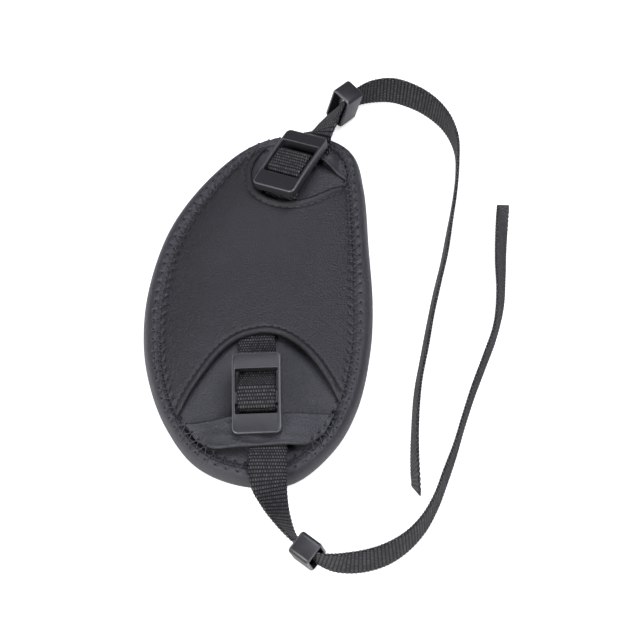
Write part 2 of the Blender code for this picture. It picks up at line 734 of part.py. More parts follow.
def ribbon(name, centres, widths, look, slant=0.0):
    """A flat strap along the centres, each with the direction of its width. Its end is cut at a
    slant, which the section before it takes a part of."""
    rings = []
    last = len(centres) - 1
    for i, centre in enumerate(centres):
        ahead = (centres[min(i + 1, last)] - centres[max(i - 1, 0)]).normalized()
        across = (widths[i] - ahead * widths[i].dot(ahead)).normalized()
        normal = across.cross(ahead)
        side = across * WEB_WIDTH / 2
        up = normal * WEB_THICKNESS / 2
        shift = ahead * slant / 2 * max(0.0, 1 - SLANT_FADE * (last - i))
        rings.append([
            centre - side - up + shift, centre + side - up - shift,
            centre + side + up - shift, centre - side + up + shift,
        ])
    vertices, faces = stacked_rings(rings)
    return add_object(name, vertices, faces, look, smooth=False)


def make_strap(name, route, slant, look):
    """A long strap along its hand-chosen route, from its sewn end to its tip."""
    centres, widths = strap_line(route)
    return ribbon(name, centres, widths, look, slant)


def web_route(place, outer_way, approach, leave):
    """The short webbing's line: from its sewn end under the panel, over the buckle's bar, and under
    the band to its cut end. approach and leave are points given as the way along the buckle and the
    height over the field, and outer_way is 1 where the band lies at the buckle's far end."""
    rotation, middle = buckle_frame(place)
    level = FIELD_HEIGHT + GAP + WEB_THICKNESS / 2
    turn = math.radians(place["heading"])
    flat = Vector((math.cos(turn), math.sin(turn), 0))
    beside = Vector((flat.y, -flat.x, 0))
    upright = rotation @ Vector((0, 0, 1))

    def local(y, z):
        return middle + rotation @ Vector((0, y, z))

    def lying(along, height):
        """A point outside the buckle, moved to the side with height as the rolled buckle's is."""
        rise = level + height * MM - middle.z
        share = min(height * MM / WEB_TURN_HEIGHT, 1.0)
        at = middle + flat * along * MM + beside * rise * share * upright.dot(beside) / upright.z
        return Vector((at.x, at.y, level + height * MM))

    def round_edge(edge, way, angle):
        """Round the bar's edge: at 0 degrees on top of it and at 90 beside it."""
        angle = math.radians(angle)
        return local(edge + way * TURN_RADIUS * math.sin(angle), BAR_TOP + TURN_RADIUS * math.cos(angle))

    bar = WINDOW_OFFSET + BAR_OFFSET
    outer_edge = bar + outer_way * BAR_LENGTH / 2
    panel_edge = bar - outer_way * BAR_LENGTH / 2
    points = [lying(*point) for point in approach]
    points += [round_edge(panel_edge, -outer_way, angle) for angle in (50, 25, 0)]
    points += [local(bar, BAR_TOP + TURN_RADIUS)]
    points += [round_edge(outer_edge, outer_way, angle) for angle in (0, 40, 75)]
    points += [lying(*point) for point in leave]
    return points, rotation


def make_web(name, place, outer_way, approach, leave, look):
    points, rotation = web_route(place, outer_way, approach, leave)
    line = even_points(smooth_points([tuple(p) for p in points], 12), WEB_SECTIONS)
    centres = [Vector(p) for p in line]
    across = rotation @ Vector((1, 0, 0))
    flat = Vector((across.x, across.y, 0)).normalized()
    widths = []
    for centre in centres:
        share = min(max((centre.z - FIELD_HEIGHT - WEB_THICKNESS) / WEB_TURN_HEIGHT, 0.0), 1.0)
        widths.append((flat * (1 - share) + across * share).normalized())
    return ribbon(name, centres, widths, look)


def make_tack(name, place, outer_way, under_panel, look):
    """The sewn bar that holds the short webbing's hidden end."""
    rotation, middle = buckle_frame(place)
    at = middle + rotation @ Vector((0, under_panel + outer_way * TACK_SETBACK, 0))
    height = FIELD_HEIGHT + GAP + WEB_THICKNESS + GAP
    half_x = TACK_LENGTH / 2
    half_y = TACK_WIDTH / 2
    turn = Matrix.Rotation(math.radians(place["heading"] - 90), 3, "Z")
    rings = []
    for z in (height, height + TACK_THICKNESS):
        ring = []
        for x, y in ((-half_x, -half_y), (half_x, -half_y), (half_x, half_y), (-half_x, half_y)):
            corner = turn @ Vector((x, y, 0))
            ring.append(Vector((at.x + corner.x, at.y + corner.y, z)))
        rings.append(ring)
    vertices, faces = stacked_rings(rings)
    return add_object(name, vertices, faces, look, smooth=False)


def build():
    for old in list(bpy.data.objects):
        bpy.data.objects.remove(old, do_unlink=True)

    leather = material("pad_leather", LEATHER, 0.5)
    panel_leather = material("panel_leather", PANEL_LEATHER, 0.48)
    band_leather = material("band_leather", LEATHER, 0.48)
    lining = material("lining_cloth", LINING, 0.9)
    foam = material("foam", FOAM, 0.95)
    thread = material("thread", THREAD, 0.7)
    webbing = material("webbing", WEBBING, 0.75)
    plastic = material("moulded_plastic", PLASTIC, 0.35)

    make_rear_lining(lining)
    make_foam_core(foam)
    make_base_cover(leather)
    make_centre_panel(panel_leather)
    make_hem_thread("upper_hem_thread", UPPER_ARCH, -1, thread)
    make_hem_thread("lower_hem_thread", LOWER_ARCH, 1, thread)
    make_border_thread(thread)

    make_band("lower_band", LOWER_BAND_INNER, LOWER_BAND_OUTER, off_axis(LOWER_BUCKLE), band_leather)
    make_band("upper_band", UPPER_BAND_INNER, UPPER_BAND_OUTER, off_axis(UPPER_BUCKLE), band_leather)

    make_buckle("lower_buckle", LOWER_BUCKLE, plastic)
    make_buckle("upper_buckle", UPPER_BUCKLE, plastic)
    make_keeper("lower_keeper", LOWER_ROUTE, LOWER_KEEPER_ALONG, plastic)
    make_keeper("upper_keeper", UPPER_ROUTE, UPPER_KEEPER_ALONG, plastic)

    make_web("lower_web", LOWER_BUCKLE, -1, LOWER_APPROACH, LOWER_LEAVE, webbing)
    make_web("upper_web", UPPER_BUCKLE, 1, UPPER_APPROACH, UPPER_LEAVE, webbing)
    make_tack("lower_web_tack", LOWER_BUCKLE, -1, LOWER_APPROACH[0][0] * MM, thread)
    make_tack("upper_web_tack", UPPER_BUCKLE, 1, UPPER_APPROACH[0][0] * MM, thread)
    make_strap("lower_strap", LOWER_ROUTE, LOWER_TIP_SLANT, webbing)
    make_strap("upper_strap", UPPER_ROUTE, UPPER_TIP_SLANT, webbing)


build()
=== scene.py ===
# Camera hand grip strap, lying on its back on a pale table: the looks of its frame.

import math

import bmesh
import bpy
import numpy as np
from mathutils import Matrix, Vector


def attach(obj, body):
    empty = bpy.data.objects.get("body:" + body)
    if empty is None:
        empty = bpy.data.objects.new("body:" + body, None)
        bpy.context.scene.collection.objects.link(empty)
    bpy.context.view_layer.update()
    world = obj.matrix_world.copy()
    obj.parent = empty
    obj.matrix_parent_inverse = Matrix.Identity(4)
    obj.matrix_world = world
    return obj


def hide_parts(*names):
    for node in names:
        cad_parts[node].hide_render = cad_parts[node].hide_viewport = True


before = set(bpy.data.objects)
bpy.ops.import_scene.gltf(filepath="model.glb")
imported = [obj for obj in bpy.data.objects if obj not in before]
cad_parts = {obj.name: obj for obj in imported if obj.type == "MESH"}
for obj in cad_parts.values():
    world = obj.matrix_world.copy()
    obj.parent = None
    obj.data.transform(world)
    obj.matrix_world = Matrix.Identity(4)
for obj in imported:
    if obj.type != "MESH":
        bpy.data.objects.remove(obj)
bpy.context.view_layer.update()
MM = 0.001


def add_object(name, data):
    made = bpy.data.objects.new(name, data)
    bpy.context.collection.objects.link(made)
    return made


# Camera
# A long lens well away from the table, 60 degrees above it and square to the pad's length, so the
# pad and the two straps that stand on edge are seen as in the photograph.

IMAGE_HEIGHT = 640
CAMERA_DISTANCE = 700 * MM
CAMERA_ELEVATION = 60
CAMERA_TARGET = Vector((16, -3, 0)) * MM
FOCAL_PIXELS = 2170
SENSOR = 36

elevation = math.radians(CAMERA_ELEVATION)
lens_data = bpy.data.cameras.new("camera")
lens_data.sensor_width = SENSOR
lens_data.lens = SENSOR * FOCAL_PIXELS / IMAGE_HEIGHT
lens_data.clip_start = 0.01
camera = add_object("camera", lens_data)
away = Vector((0, -math.cos(elevation), math.sin(elevation)))
camera.location = CAMERA_TARGET + CAMERA_DISTANCE * away
camera.rotation_euler = (math.pi / 2 - elevation, 0, 0)
bpy.context.scene.camera = camera
bpy.context.scene.view_settings.view_transform = "Standard"


# Long straps
# One strap leaves each end of the pad, goes through its keeper and stands on edge on the table.
# They are 12 mm polyester webbing with strong cross ribs, cut at a slant and sealed with heat.

WEB_WIDTH = 12.0 * MM
WEB_THICKNESS = 1.2 * MM
RIB_PITCH = 1.2 * MM
RIB_DEPTH = 0.33 * MM
YARN_PITCH = 0.8 * MM
SELVEDGE_DEPTH = 0.24 * MM
SAMPLES_PER_RIB = 4
WEB_COLUMNS = 19
WEBBING_COLOUR = (0.064, 0.063, 0.068)
UPPER_TIP_SLANT = -9.0 * MM
LOWER_TIP_SLANT = 7.5 * MM
SEALED_LENGTH = 1.3 * MM

# Free routes in millimetres: x, y, height of the middle and lean, where 90 stands on edge
UPPER_ROUTE = [
    (16.2, 54.5, 10.15, 0), (17.2, 56.5, 10.75, 0), (18.2, 58.5, 12.0, 14), (19.3, 60.5, 12.9, 29),
    (20.6, 62.8, 12.6, 41), (21.7, 65.9, 11.0, 48), (23.3, 69.6, 9.95, 54), (25.4, 73.5, 8.95, 63),
    (28.4, 77.0, 8.1, 74), (32.5, 80.3, 7.35, 85), (37.7, 82.7, 6.8, 94), (44.2, 83.4, 6.5, 99),
    (50.6, 81.2, 6.5, 99), (56.9, 77.0, 6.5, 97), (62.4, 70.4, 6.4, 93), (65.5, 61.5, 6.3, 90),
    (65.5, 51.0, 6.3, 89), (64.2, 40.0, 6.3, 92), (62.2, 28.6, 6.3, 95), (60.1, 16.8, 6.3, 98),
    (57.4, 5.2, 6.3, 99), (54.9, -6.6, 6.3, 98), (52.7, -18.5, 6.3, 99), (50.4, -30.6, 6.3, 98),
    (49.2, -43.0, 6.3, 97), (48.7, -55.0, 6.3, 98), (48.9, -67.0, 6.3, 98),
]
LOWER_ROUTE = [
    (3.2, -48.0, 10.2, 0), (3.5, -52.6, 10.2, 0), (3.6, -54.8, 10.35, 0), (3.6, -57.0, 11.1, 0),
    (3.6, -60.0, 11.45, 0), (3.6, -62.8, 11.4, 2), (3.9, -66.2, 10.8, 14), (5.0, -70.5, 9.6, 32),
    (6.9, -75.7, 8.8, 48), (9.7, -81.2, 8.5, 62), (13.5, -86.0, 8.35, 70), (17.6, -89.3, 8.1, 79),
    (22.3, -90.8, 7.4, 90), (27.6, -90.9, 6.7, 98), (33.3, -90.1, 6.5, 101), (39.6, -87.9, 6.5, 101),
    (45.8, -83.7, 6.5, 98), (51.0, -77.7, 6.4, 96), (54.9, -70.4, 6.4, 95), (57.9, -62.3, 6.3, 95),
    (61.1, -53.3, 6.3, 93), (64.0, -43.6, 6.3, 92), (67.3, -33.2, 6.3, 92), (71.3, -22.3, 6.3, 92),
    (75.3, -10.9, 6.3, 94), (77.5, 1.0, 6.3, 103), (78.1, 12.6, 6.2, 109), (78.8, 23.8, 6.2, 110),
    (80.1, 37.2, 6.2, 111),
]


def mix(one, other, first, last, at):
    """The value at a place between first, where it is one, and last, where it is the other."""
    return (one * (last - at) + other * (at - first)) / (last - first)


def between(before, start, end, after, share):
    """A point between start and end on the smooth curve through the four."""
    points = [before, start, end, after]
    knots = [0.0]
    for one, other in zip(points, points[1:]):
        knots.append(knots[-1] + max(1e-6, math.sqrt(np.linalg.norm((other - one)[:3]))))
    at = knots[1] + (knots[2] - knots[1]) * share
    lines = [mix(points[i], points[i + 1], knots[i], knots[i + 1], at) for i in range(3)]
    curves = [mix(lines[i], lines[i + 1], knots[i], knots[i + 2], at) for i in range(2)]
    return mix(curves[0], curves[1], knots[1], knots[2], at)


def smooth_points(points, steps, closed=False):
    """The smooth curve through the points, with so many steps from each one to the next."""
    given = [np.array(point, float) for point in points]
    if closed:
        padded = [given[-1], *given, given[0], given[1]]
    else:
        padded = [2 * given[0] - given[1], *given, 2 * given[-1] - given[-2]]
    out = []
    for before, start, end, after in zip(padded, padded[1:], padded[2:], padded[3:]):
        for step in range(steps):
            out.append(between(before, start, end, after, step / steps))
    if not closed:
        out.append(given[-1])
    return np.array(out)


def steps_between(points):
    return np.linalg.norm(np.diff(points[:, :3], axis=0), axis=1)


def distances(points):
    """How far along its line each point lies."""
    return np.concatenate([[0.0], np.cumsum(steps_between(points))])


def even_points(points, count, closed=False):
    """The same curve with so many points at even distances along it."""
    line = np.vstack([points, points[:1]]) if closed else np.array(points)
    along = distances(line)
    wanted = np.linspace(0.0, along[-1], count, endpoint=not closed)
    return np.column_stack([np.interp(wanted, along, line[:, k]) for k in range(line.shape[1])])


def unit(vectors):
    return vectors / np.linalg.norm(vectors, axis=-1, keepdims=True)


def curve_length(points):
    return float(steps_between(points).sum())


def ring_faces(rings, count, closed=False):
    """Faces of a skin through rings of so many points each, open at the ends or closed on itself."""
    faces = []
    for a in range(rings if closed else rings - 1):
        b = (a + 1) % rings
        for i in range(count):
            j = (i + 1) % count
            faces.append((a * count + i, a * count + j, b * count + j, b * count + i))
    return faces


def end_faces(rings, count, first=0):
    """A face over each end of a skin through rings of so many points each."""
    return [tuple(range(start, start + count)) for start in (first, first + (rings - 1) * count)]


def finish_piece(name, vertices, faces, look, body, uv=None):
    """A piece with its faces pointing out, its finish and the body that it rides on."""
    mesh = bpy.data.meshes.new(name)
    mesh.from_pydata([tuple(v) for v in vertices], [], faces)
    if uv is not None:
        layer = mesh.uv_layers.new(name="weave")
        corners = np.zeros(len(mesh.loops), int)
        mesh.loops.foreach_get("vertex_index", corners)
        layer.data.foreach_set("uv", uv[corners].ravel())
    bm = bmesh.new()
    bm.from_mesh(mesh)
    bmesh.ops.recalc_face_normals(bm, faces=bm.faces)
    if bm.calc_volume(signed=True) < 0:
        bmesh.ops.reverse_faces(bm, faces=bm.faces)
    bm.to_mesh(mesh)
    bm.free()
    mesh.shade_smooth()
    mesh.materials.append(look)
    made = add_object(name, mesh)
    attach(made, body)
    return made


def add_node(tree, kind, inputs, **settings):
    """A node with its inputs given as values or as the sockets that feed them."""
    node = tree.nodes.new(kind)
    for key, value in settings.items():
        setattr(node, key, value)
    for key, value in inputs.items():
        if isinstance(value, bpy.types.NodeSocket):
            tree.links.new(value, node.inputs[key])
        else:
            node.inputs[key].default_value = value
    return node


def new_finish(name, colour, roughness, **sockets):
    """A material with its Principled shader's plain values set. Returns it, its node tree and the
    shader."""
    look = bpy.data.materials.new(name)
    look.use_nodes = True
    shader = look.node_tree.nodes["Principled BSDF"]
    shader.inputs["Base Color"].default_value = (*colour, 1.0)
    shader.inputs["Roughness"].default_value = roughness
    for key, value in sockets.items():
        shader.inputs[key.replace("_", " ")].default_value = value
    return look, look.node_tree, shader


def multiply_add(tree, value, factor, added):
    """A socket with value times factor plus added."""
    inputs = {0: value, 1: factor, 2: added}
    return add_node(tree, "ShaderNodeMath", inputs, operation="MULTIPLY_ADD").outputs[0]


def clouds(tree, scale, detail, **inputs):
    """A socket with an even, cloudy pattern in the object's own space."""
    place = add_node(tree, "ShaderNodeTexCoord", {}).outputs["Object"]
    inputs = {"Vector": place, "Scale": scale, "Detail": detail, **inputs}
    return add_node(tree, "ShaderNodeTexNoise", inputs)


def set_bump(tree, shader, height, distance, strength):
    """Let a height from 0 to 1 stand for so much distance on the surface."""
    inputs = {"Height": height, "Distance": distance, "Strength": strength}
    bump = add_node(tree, "ShaderNodeBump", inputs)
    tree.links.new(bump.outputs["Normal"], shader.inputs["Normal"])


def uneven_polish(tree, pattern, smooth, rough):
    """A socket with a roughness that follows a pattern."""
    return add_node(tree, "ShaderNodeMapRange", {
        "Value": pattern, "From Min": 0.3, "From Max": 0.7, "To Min": smooth, "To Max": rough,
    }).outputs["Result"]


def tone(colour, share):
    return (*[share * c for c in colour], 1)


def webbing_finish(name, colour):
    """Woven polyester: brick-like yarns in every cross rib, each a little lighter or darker, with painted
    shade in the dark gaps between them.
    """
    look, tree, shader = new_finish(name, colour, 0.6, Specular_IOR_Level=0.35)
    weave = add_node(tree, "ShaderNodeUVMap", {}, uv_map="weave")
    bricks = add_node(tree, "ShaderNodeTexBrick", {
        "Vector": weave.outputs["UV"],
        # The mortar, a tenth of the webbing's colour, is painted shade in the gaps between the yarns
        "Color1": tone(colour, 0.8), "Color2": tone(colour, 1.8), "Mortar": tone(colour, 0.1),
        "Scale": 1.0, "Mortar Size": 0.27, "Mortar Smooth": 0.7,
        "Brick Width": 1.0, "Row Height": 1.0,
    })
    fuzz = clouds(tree, 2600.0, 3.0).outputs["Fac"]
    low = multiply_add(tree, bricks.outputs["Fac"], -1.0, 0.0)
    set_bump(tree, shader, multiply_add(tree, fuzz, 0.45, low), 0.28 * MM, 1.0)
    tree.links.new(bricks.outputs["Color"], shader.inputs["Base Color"])
    return look


def web_profile(columns):
    """The section of the webbing, going round: place across from -1 to 1, and height from -1 to 1."""
    across = np.sin(np.linspace(-math.pi / 2, math.pi / 2, columns))
    across = 0.45 * across + 0.55 * np.linspace(-1, 1, columns)
    height = np.sqrt(np.clip(1 - np.abs(across) ** 9, 0, 1))
    upper = np.column_stack([across, height])
    return np.vstack([upper, (upper * (1, -1))[-2:0:-1]])


def ribbed_web(name, node, centres, widths, slant=0.0, sealed=False):
    """A webbing along the centres, each with the direction of its width, with a rib for each pitch.
    A sealed end is melted smooth, and slant is how much further its first side reaches."""
    ahead = unit(np.gradient(centres, axis=0))
    widths = unit(widths - ahead * np.sum(widths * ahead, axis=1, keepdims=True))
    normals = np.cross(widths, ahead)
    run = distances(centres)
    profile = web_profile(WEB_COLUMNS)
    rib = np.abs(np.sin(math.pi * run / RIB_PITCH)) ** 0.7
    left = run[-1] - run
    vertices = []
    uv = []
    for i, centre in enumerate(centres):
        reach = WEB_WIDTH / 2 - SELVEDGE_DEPTH * (1 - rib[i])
        swell = WEB_THICKNESS / 2 - RIB_DEPTH * (1 - rib[i])
        near_tip = max(0.0, 1 - left[i] / max(abs(slant), SEALED_LENGTH)) if sealed else 0.0
        if sealed and left[i] < SEALED_LENGTH:
            swell = WEB_THICKNESS / 2 * (0.45 + 0.4 * (left[i] / SEALED_LENGTH) ** 0.5)
        for across, height in profile:
            point = centre + widths[i] * across * reach + normals[i] * height * swell
            point = point - ahead[i] * near_tip * across * slant / 2
            vertices.append(point)
            uv.append((across * WEB_WIDTH / 2 / YARN_PITCH, run[i] / RIB_PITCH))
    count = len(profile)
    faces = ring_faces(len(centres), count) + end_faces(len(centres), count)
    web = finish_piece(name, vertices, faces, webbing, "grip", uv=np.array(uv))
    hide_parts(node)
    return web


def strap_line(route):
    """Middles and width directions along a long strap's route, with a few for each rib."""
    line = smooth_points(route, 12)
    count = int(SAMPLES_PER_RIB * curve_length(line) * MM / RIB_PITCH)
    line = even_points(line, count)
    ahead = np.gradient(line[:, :3], axis=0)
    right = unit(np.column_stack([ahead[:, 1], -ahead[:, 0], 0 * ahead[:, 0]]))
    lean = np.radians(line[:, 3:4])
    return line[:, :3] * MM, np.cos(lean) * right + np.sin(lean) * (0, 0, 1)


webbing = webbing_finish("webbing", WEBBING_COLOUR)


def long_strap(name, node, route, slant):
    """A long strap from its sewn end to its sealed tip. Returns it and its middles."""
    centres, widths = strap_line(route)
    return ribbed_web(name, node, centres, widths, slant, sealed=True), centres


upper_strap, upper_line = long_strap("upper_long_strap", "upper_strap", UPPER_ROUTE, UPPER_TIP_SLANT)
lower_strap, lower_line = long_strap("lower_long_strap", "lower_strap", LOWER_ROUTE, LOWER_TIP_SLANT)


# Pad cover
# A foam pad covered with one piece of smooth, fine grained leather. The border is puffed up
# outside the sewn line, and its outer side rolls in under the back.

PAD_OUTLINE = [
    (36.7, 0.0), (35.7, 22.0), (34.3, 45.0), (31.4, 56.6), (24.0, 62.3), (13.0, 64.0),
    (2.0, 62.4), (-8.8, 56.2), (-20.5, 43.4), (-29.6, 27.8), (-35.4, 7.0), (-36.7, -10.0),
    (-34.8, -26.0), (-28.8, -43.0), (-18.8, -56.8), (-4.2, -63.3), (10.9, -62.6),
    (23.9, -51.3), (31.4, -37.0), (35.7, -17.0),
]
SEAM_LINE = [
    (31.0, 2.0), (30.6, 23.0), (29.6, 42.0), (28.0, 54.5), (22.5, 59.5), (13.0, 61.1),
    (4.0, 60.1), (-4.5, 55.2), (-16.7, 39.9), (-25.2, 24.7), (-29.9, 8.0), (-31.6, -10.0),
    (-29.6, -30.0), (-24.6, -44.0), (-15.8, -54.9), (-4.2, -59.6), (8.5, -59.2),
    (20.3, -50.0), (26.8, -36.0), (30.4, -18.0),
]
FIELD_HEIGHT = 7.8 * MM
BORDER_HEIGHT = 9.4 * MM
GAP = 0.3 * MM
FIELD_EDGE = 7 * MM
END_FALL = 1.1 * MM
END_FALL_START = 12 * MM
END_FALL_RUN = 46 * MM
ZIGZAG_COUNT = 88
ZIGZAG_SPAN = 3.4 * MM
STEPS_PER_STITCH = 12
THREAD_GROOVE = 0.15 * MM
GROOVE_WIDTH = 0.24 * MM
HOLE_DIMPLE = 0.4 * MM
DIMPLE_WIDTH = 0.6 * MM
SEAM_CREASE = 0.12 * MM
PEBBLE = 0.62 * MM
# Share of the way in from the outline to the sewn line, and height as a share of the border's
BORDER_PROFILE = [
    (0.0, 0.39), (0.03, 0.54), (0.1, 0.7), (0.22, 0.845), (0.38, 0.94), (0.58, 0.99), (0.78, 1.0),
    (1.0, 0.955),
]
# The outer side below that: how far in from the outline, in millimetres, and height
WALL_PROFILE = [(0.0, 0.39), (0.05, 0.26), (0.25, 0.15), (0.55, 0.065), (1.0, 0.02), (1.7, 0.0)]
LEATHER_COLOUR = (0.041, 0.041, 0.048)


def polar(points):
    """A closed curve as a table of radius by angle about the pad's centre."""
    line = smooth_points(points, 24, closed=True) * MM
    angles = np.arctan2(line[:, 1], line[:, 0])
    order = np.argsort(angles)
    return angles[order], np.hypot(line[:, 0], line[:, 1])[order]


OUTLINE_TABLE = polar(PAD_OUTLINE)
SEAM_TABLE = polar(SEAM_LINE)


def radius_at(table, angle):
    return np.interp(angle, table[0], table[1], period=2 * math.pi)


def inside_seam(x, y):
    """How far a point lies inside the sewn line, along its ray from the centre."""
    return radius_at(SEAM_TABLE, np.arctan2(y, x)) - np.hypot(x, y)


def ease(share):
    share = np.clip(share, 0.0, 1.0)
    return share * share * (3 - 2 * share)


def waves(x, y, seed, spacing, count=5):
    """Gentle unevenness between -1 and 1: a few slow waves in different directions."""
    draw = np.random.default_rng(seed)
    total = 0 * x
    for _ in range(count):
        turn = draw.uniform(0, math.pi)
        length = spacing * draw.uniform(0.7, 1.5)
        total = total + np.sin(2 * math.pi * (x * math.cos(turn) + y * math.sin(turn)) / length
                               + draw.uniform(0, 6.3))
    return total / count


def leather_finish(name, colour, roughness, pebble, depth):
    """Fine grained leather: pebbles of the given size with creases between, and a soft sheen."""
    look, tree, shader = new_finish(name, colour, roughness, Specular_IOR_Level=0.5)
    place = add_node(tree, "ShaderNodeTexCoord", {}).outputs["Object"]
    drift = clouds(tree, 0.35 / pebble, 2.0).outputs["Color"]
    bent = add_node(tree, "ShaderNodeVectorMath", {
        0: drift, 1: (1.1 * pebble,) * 3, 2: place,
    }, operation="MULTIPLY_ADD")
    cells = add_node(tree, "ShaderNodeTexVoronoi", {
        "Vector": bent.outputs[0], "Scale": 1 / pebble, "Smoothness": 0.35,
    }, feature="SMOOTH_F1")
    pores = clouds(tree, 2.2 / pebble, 4.0, Roughness=0.6).outputs["Fac"]
    set_bump(tree, shader, multiply_add(tree, pores, 1.3, cells.outputs["Distance"]), -depth, 0.8)
    wear = clouds(tree, 45.0, 5.0).outputs["Fac"]
    ramp = add_node(tree, "ShaderNodeValToRGB", {"Fac": wear})
    for stop, position, share in zip(ramp.color_ramp.elements, (0.3, 0.7), (0.88, 1.12)):
        stop.position = position
        stop.color = tone(colour, share)
    polish = uneven_polish(tree, wear, roughness - 0.05, roughness + 0.06)
    tree.links.new(ramp.outputs["Color"], shader.inputs["Base Color"])
    tree.links.new(polish, shader.inputs["Roughness"])
    return look


PAD_AROUND = STEPS_PER_STITCH * ZIGZAG_COUNT
seam_loop = even_points(smooth_points(SEAM_LINE, 24, closed=True), PAD_AROUND, closed=True) * MM
PAD_ANGLES = np.arctan2(seam_loop[:, 1], seam_loop[:, 0])
SEAM_PITCH = curve_length(np.vstack([seam_loop, seam_loop[:1]])) / ZIGZAG_COUNT


def bell(off, width):
    """A smooth hump of 1 that falls off over the width."""
    return np.exp(-(off / width) ** 2)


def sewn_in(steps_along, inside):
    """How far the zigzag draws the leather down: a groove under each stitch, and a dimple at each
    needle hole, by place along the sewn line and distance inside it."""
    place = np.mod(steps_along / STEPS_PER_STITCH, 1.0)
    swing = 4 * np.abs(place - 0.5) - 1
    groove = bell((inside + swing * ZIGZAG_SPAN / 2) * 0.5, GROOVE_WIDTH)
    groove = groove * (np.abs(inside) < ZIGZAG_SPAN / 2)
    outer_hole = np.hypot((place - np.round(place)) * SEAM_PITCH, inside + ZIGZAG_SPAN / 2)
    inner_hole = np.hypot((place - 0.5) * SEAM_PITCH, inside - ZIGZAG_SPAN / 2)
    dimples = bell(outer_hole, DIMPLE_WIDTH) + bell(inner_hole, DIMPLE_WIDTH)
    return THREAD_GROOVE * groove + HOLE_DIMPLE * dimples


def seam_step(x, y):
    """A point's place along the sewn line, in samples of the pad's rings."""
    order = np.argsort(PAD_ANGLES)
    return np.interp(np.arctan2(y, x), PAD_ANGLES[order], np.arange(PAD_AROUND)[order] * 1.0)


leather = leather_finish("pad_leather", LEATHER_COLOUR, 0.44, PEBBLE, 0.16 * MM)


def cover_rings():
    """The cover's rings: from the middle of the front, over the border, and in under the back."""
    outer = radius_at(OUTLINE_TABLE, PAD_ANGLES)
    seam = radius_at(SEAM_TABLE, PAD_ANGLES)
    steps = np.arange(PAD_AROUND)
    rings = []

    def add(radius, height):
        x = radius * np.cos(PAD_ANGLES)
        y = radius * np.sin(PAD_ANGLES)
        soft = 0.16 * MM * (waves(x, y, 3, 22 * MM) - 1)
        soft = soft - END_FALL * ease((-y - END_FALL_START) / END_FALL_RUN)
        soft = soft * np.clip(height / BORDER_HEIGHT, 0, 1) ** 2
        level = np.maximum(height + soft - sewn_in(steps, seam - radius), 0)
        rings.append(np.column_stack([x, y, level]))

    for share in (0.08, 0.25, 0.42, 0.58, 0.72, 0.84, 0.93):
        add((seam - FIELD_EDGE) * share, FIELD_HEIGHT + 0 * seam)
    for inside in np.linspace(FIELD_EDGE, 0.3 * MM, 26):
        step_up = ease(1 - inside / (1.6 * MM)) * (BORDER_HEIGHT * BORDER_PROFILE[-1][1] - FIELD_HEIGHT)
        add(seam - inside, FIELD_HEIGHT + step_up + 0 * seam)
    for share, level in smooth_points(BORDER_PROFILE, 5)[::-1]:
        off = (1 - share) * (outer - seam)
        crease = SEAM_CREASE * bell(off, 0.4 * MM)
        add(outer - share * (outer - seam), BORDER_HEIGHT * level - crease)
    for inward, level in smooth_points(WALL_PROFILE, 3)[1:]:
        add(outer - inward * MM, BORDER_HEIGHT * level + 0 * outer)
    return rings


cover_skin = cover_rings()
cover_faces = ring_faces(len(cover_skin), PAD_AROUND) + end_faces(len(cover_skin), PAD_AROUND)
cover = finish_piece("pad_cover", np.vstack(cover_skin), cover_faces, leather, "grip")
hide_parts("base_cover", "foam_core")


# Centre panel
# A second layer of soft leather over the pad's middle, sewn down at its sides. Its upper and lower
# edges are free arches with folded, stitched hems, under which the short webbings come out.

PANEL_THICKNESS = 1.1 * MM
PANEL_CROWN = 2.0 * MM
PANEL_INSET = 0.5 * MM
PANEL_FLAT_EDGE = 1.4 * MM
PANEL_CROWN_RUN = 16.0 * MM
HEM_WIDTH = 2.4 * MM
HEM_RISE = 0.7 * MM
HEM_STITCH_INSET = 2.5 * MM
PANEL_COLUMNS = 151
PANEL_ROWS = 231
PANEL_COLOUR = (0.0262, 0.0258, 0.0305)
UPPER_ARCH = [
    (3.4, 59.6), (0.6, 56.4), (-1.8, 51.5), (-2.7, 46.5), (-1.8, 42.0), (1.2, 38.2),
    (6.0, 36.0), (11.5, 35.7), (17.5, 37.5), (23.5, 40.6), (29.6, 44.2),
]
LOWER_ARCH = [
    (-24.6, -43.0), (-20.6, -35.0), (-16.2, -27.8), (-11.6, -21.2), (-6.2, -16.4), (-1.0, -14.4),
    (3.6, -14.0), (8.2, -15.4), (12.8, -18.7), (17.4, -23.6), (21.9, -30.6), (26.4, -38.4),
]


def on_panel_side(angle):
    radius = radius_at(SEAM_TABLE, angle) - PANEL_INSET
    return np.column_stack([radius * np.cos(angle), radius * np.sin(angle)])


def arch_line(points, count):
    """A free edge, with its ends moved onto the panel's sewn side."""
    ends = on_panel_side(np.array([math.atan2(*points[k][::-1]) for k in (0, -1)])) / MM
    return even_points(smooth_points([ends[0], *points[1:-1], ends[1]], 12), count) * MM


def side_line(start, end, count, through_left):
    """The panel's sewn side from one arch to the other."""
    first = math.atan2(start[1], start[0])
    last = math.atan2(end[1], end[0])
    if through_left and last < first:
        last += 2 * math.pi
    return even_points(on_panel_side(np.linspace(first, last, 4 * count)), count)


def blend_grid(top, bottom, left, right):
    """Points between four edges: top and bottom run left to right, the sides run top to bottom."""
    down = np.linspace(0, 1, len(left))[:, None, None]
    across = np.linspace(0, 1, len(top))[None, :, None]
    ruled = (1 - down) * top[None] + down * bottom[None]
    ruled = ruled + (1 - across) * left[:, None] + across * right[:, None]
    corners = (1 - down) * ((1 - across) * top[0] + across * top[-1])
    return ruled - corners - down * ((1 - across) * bottom[0] + across * bottom[-1])


def off_line(line, x, y):
    """Distance of each point from the nearest point of a line."""
    flat = np.column_stack([x.ravel(), y.ravel()])
    near = np.full(len(flat), 1e9)
    for point in line:
        near = np.minimum(near, np.hypot(flat[:, 0] - point[0], flat[:, 1] - point[1]))
    return near.reshape(x.shape)


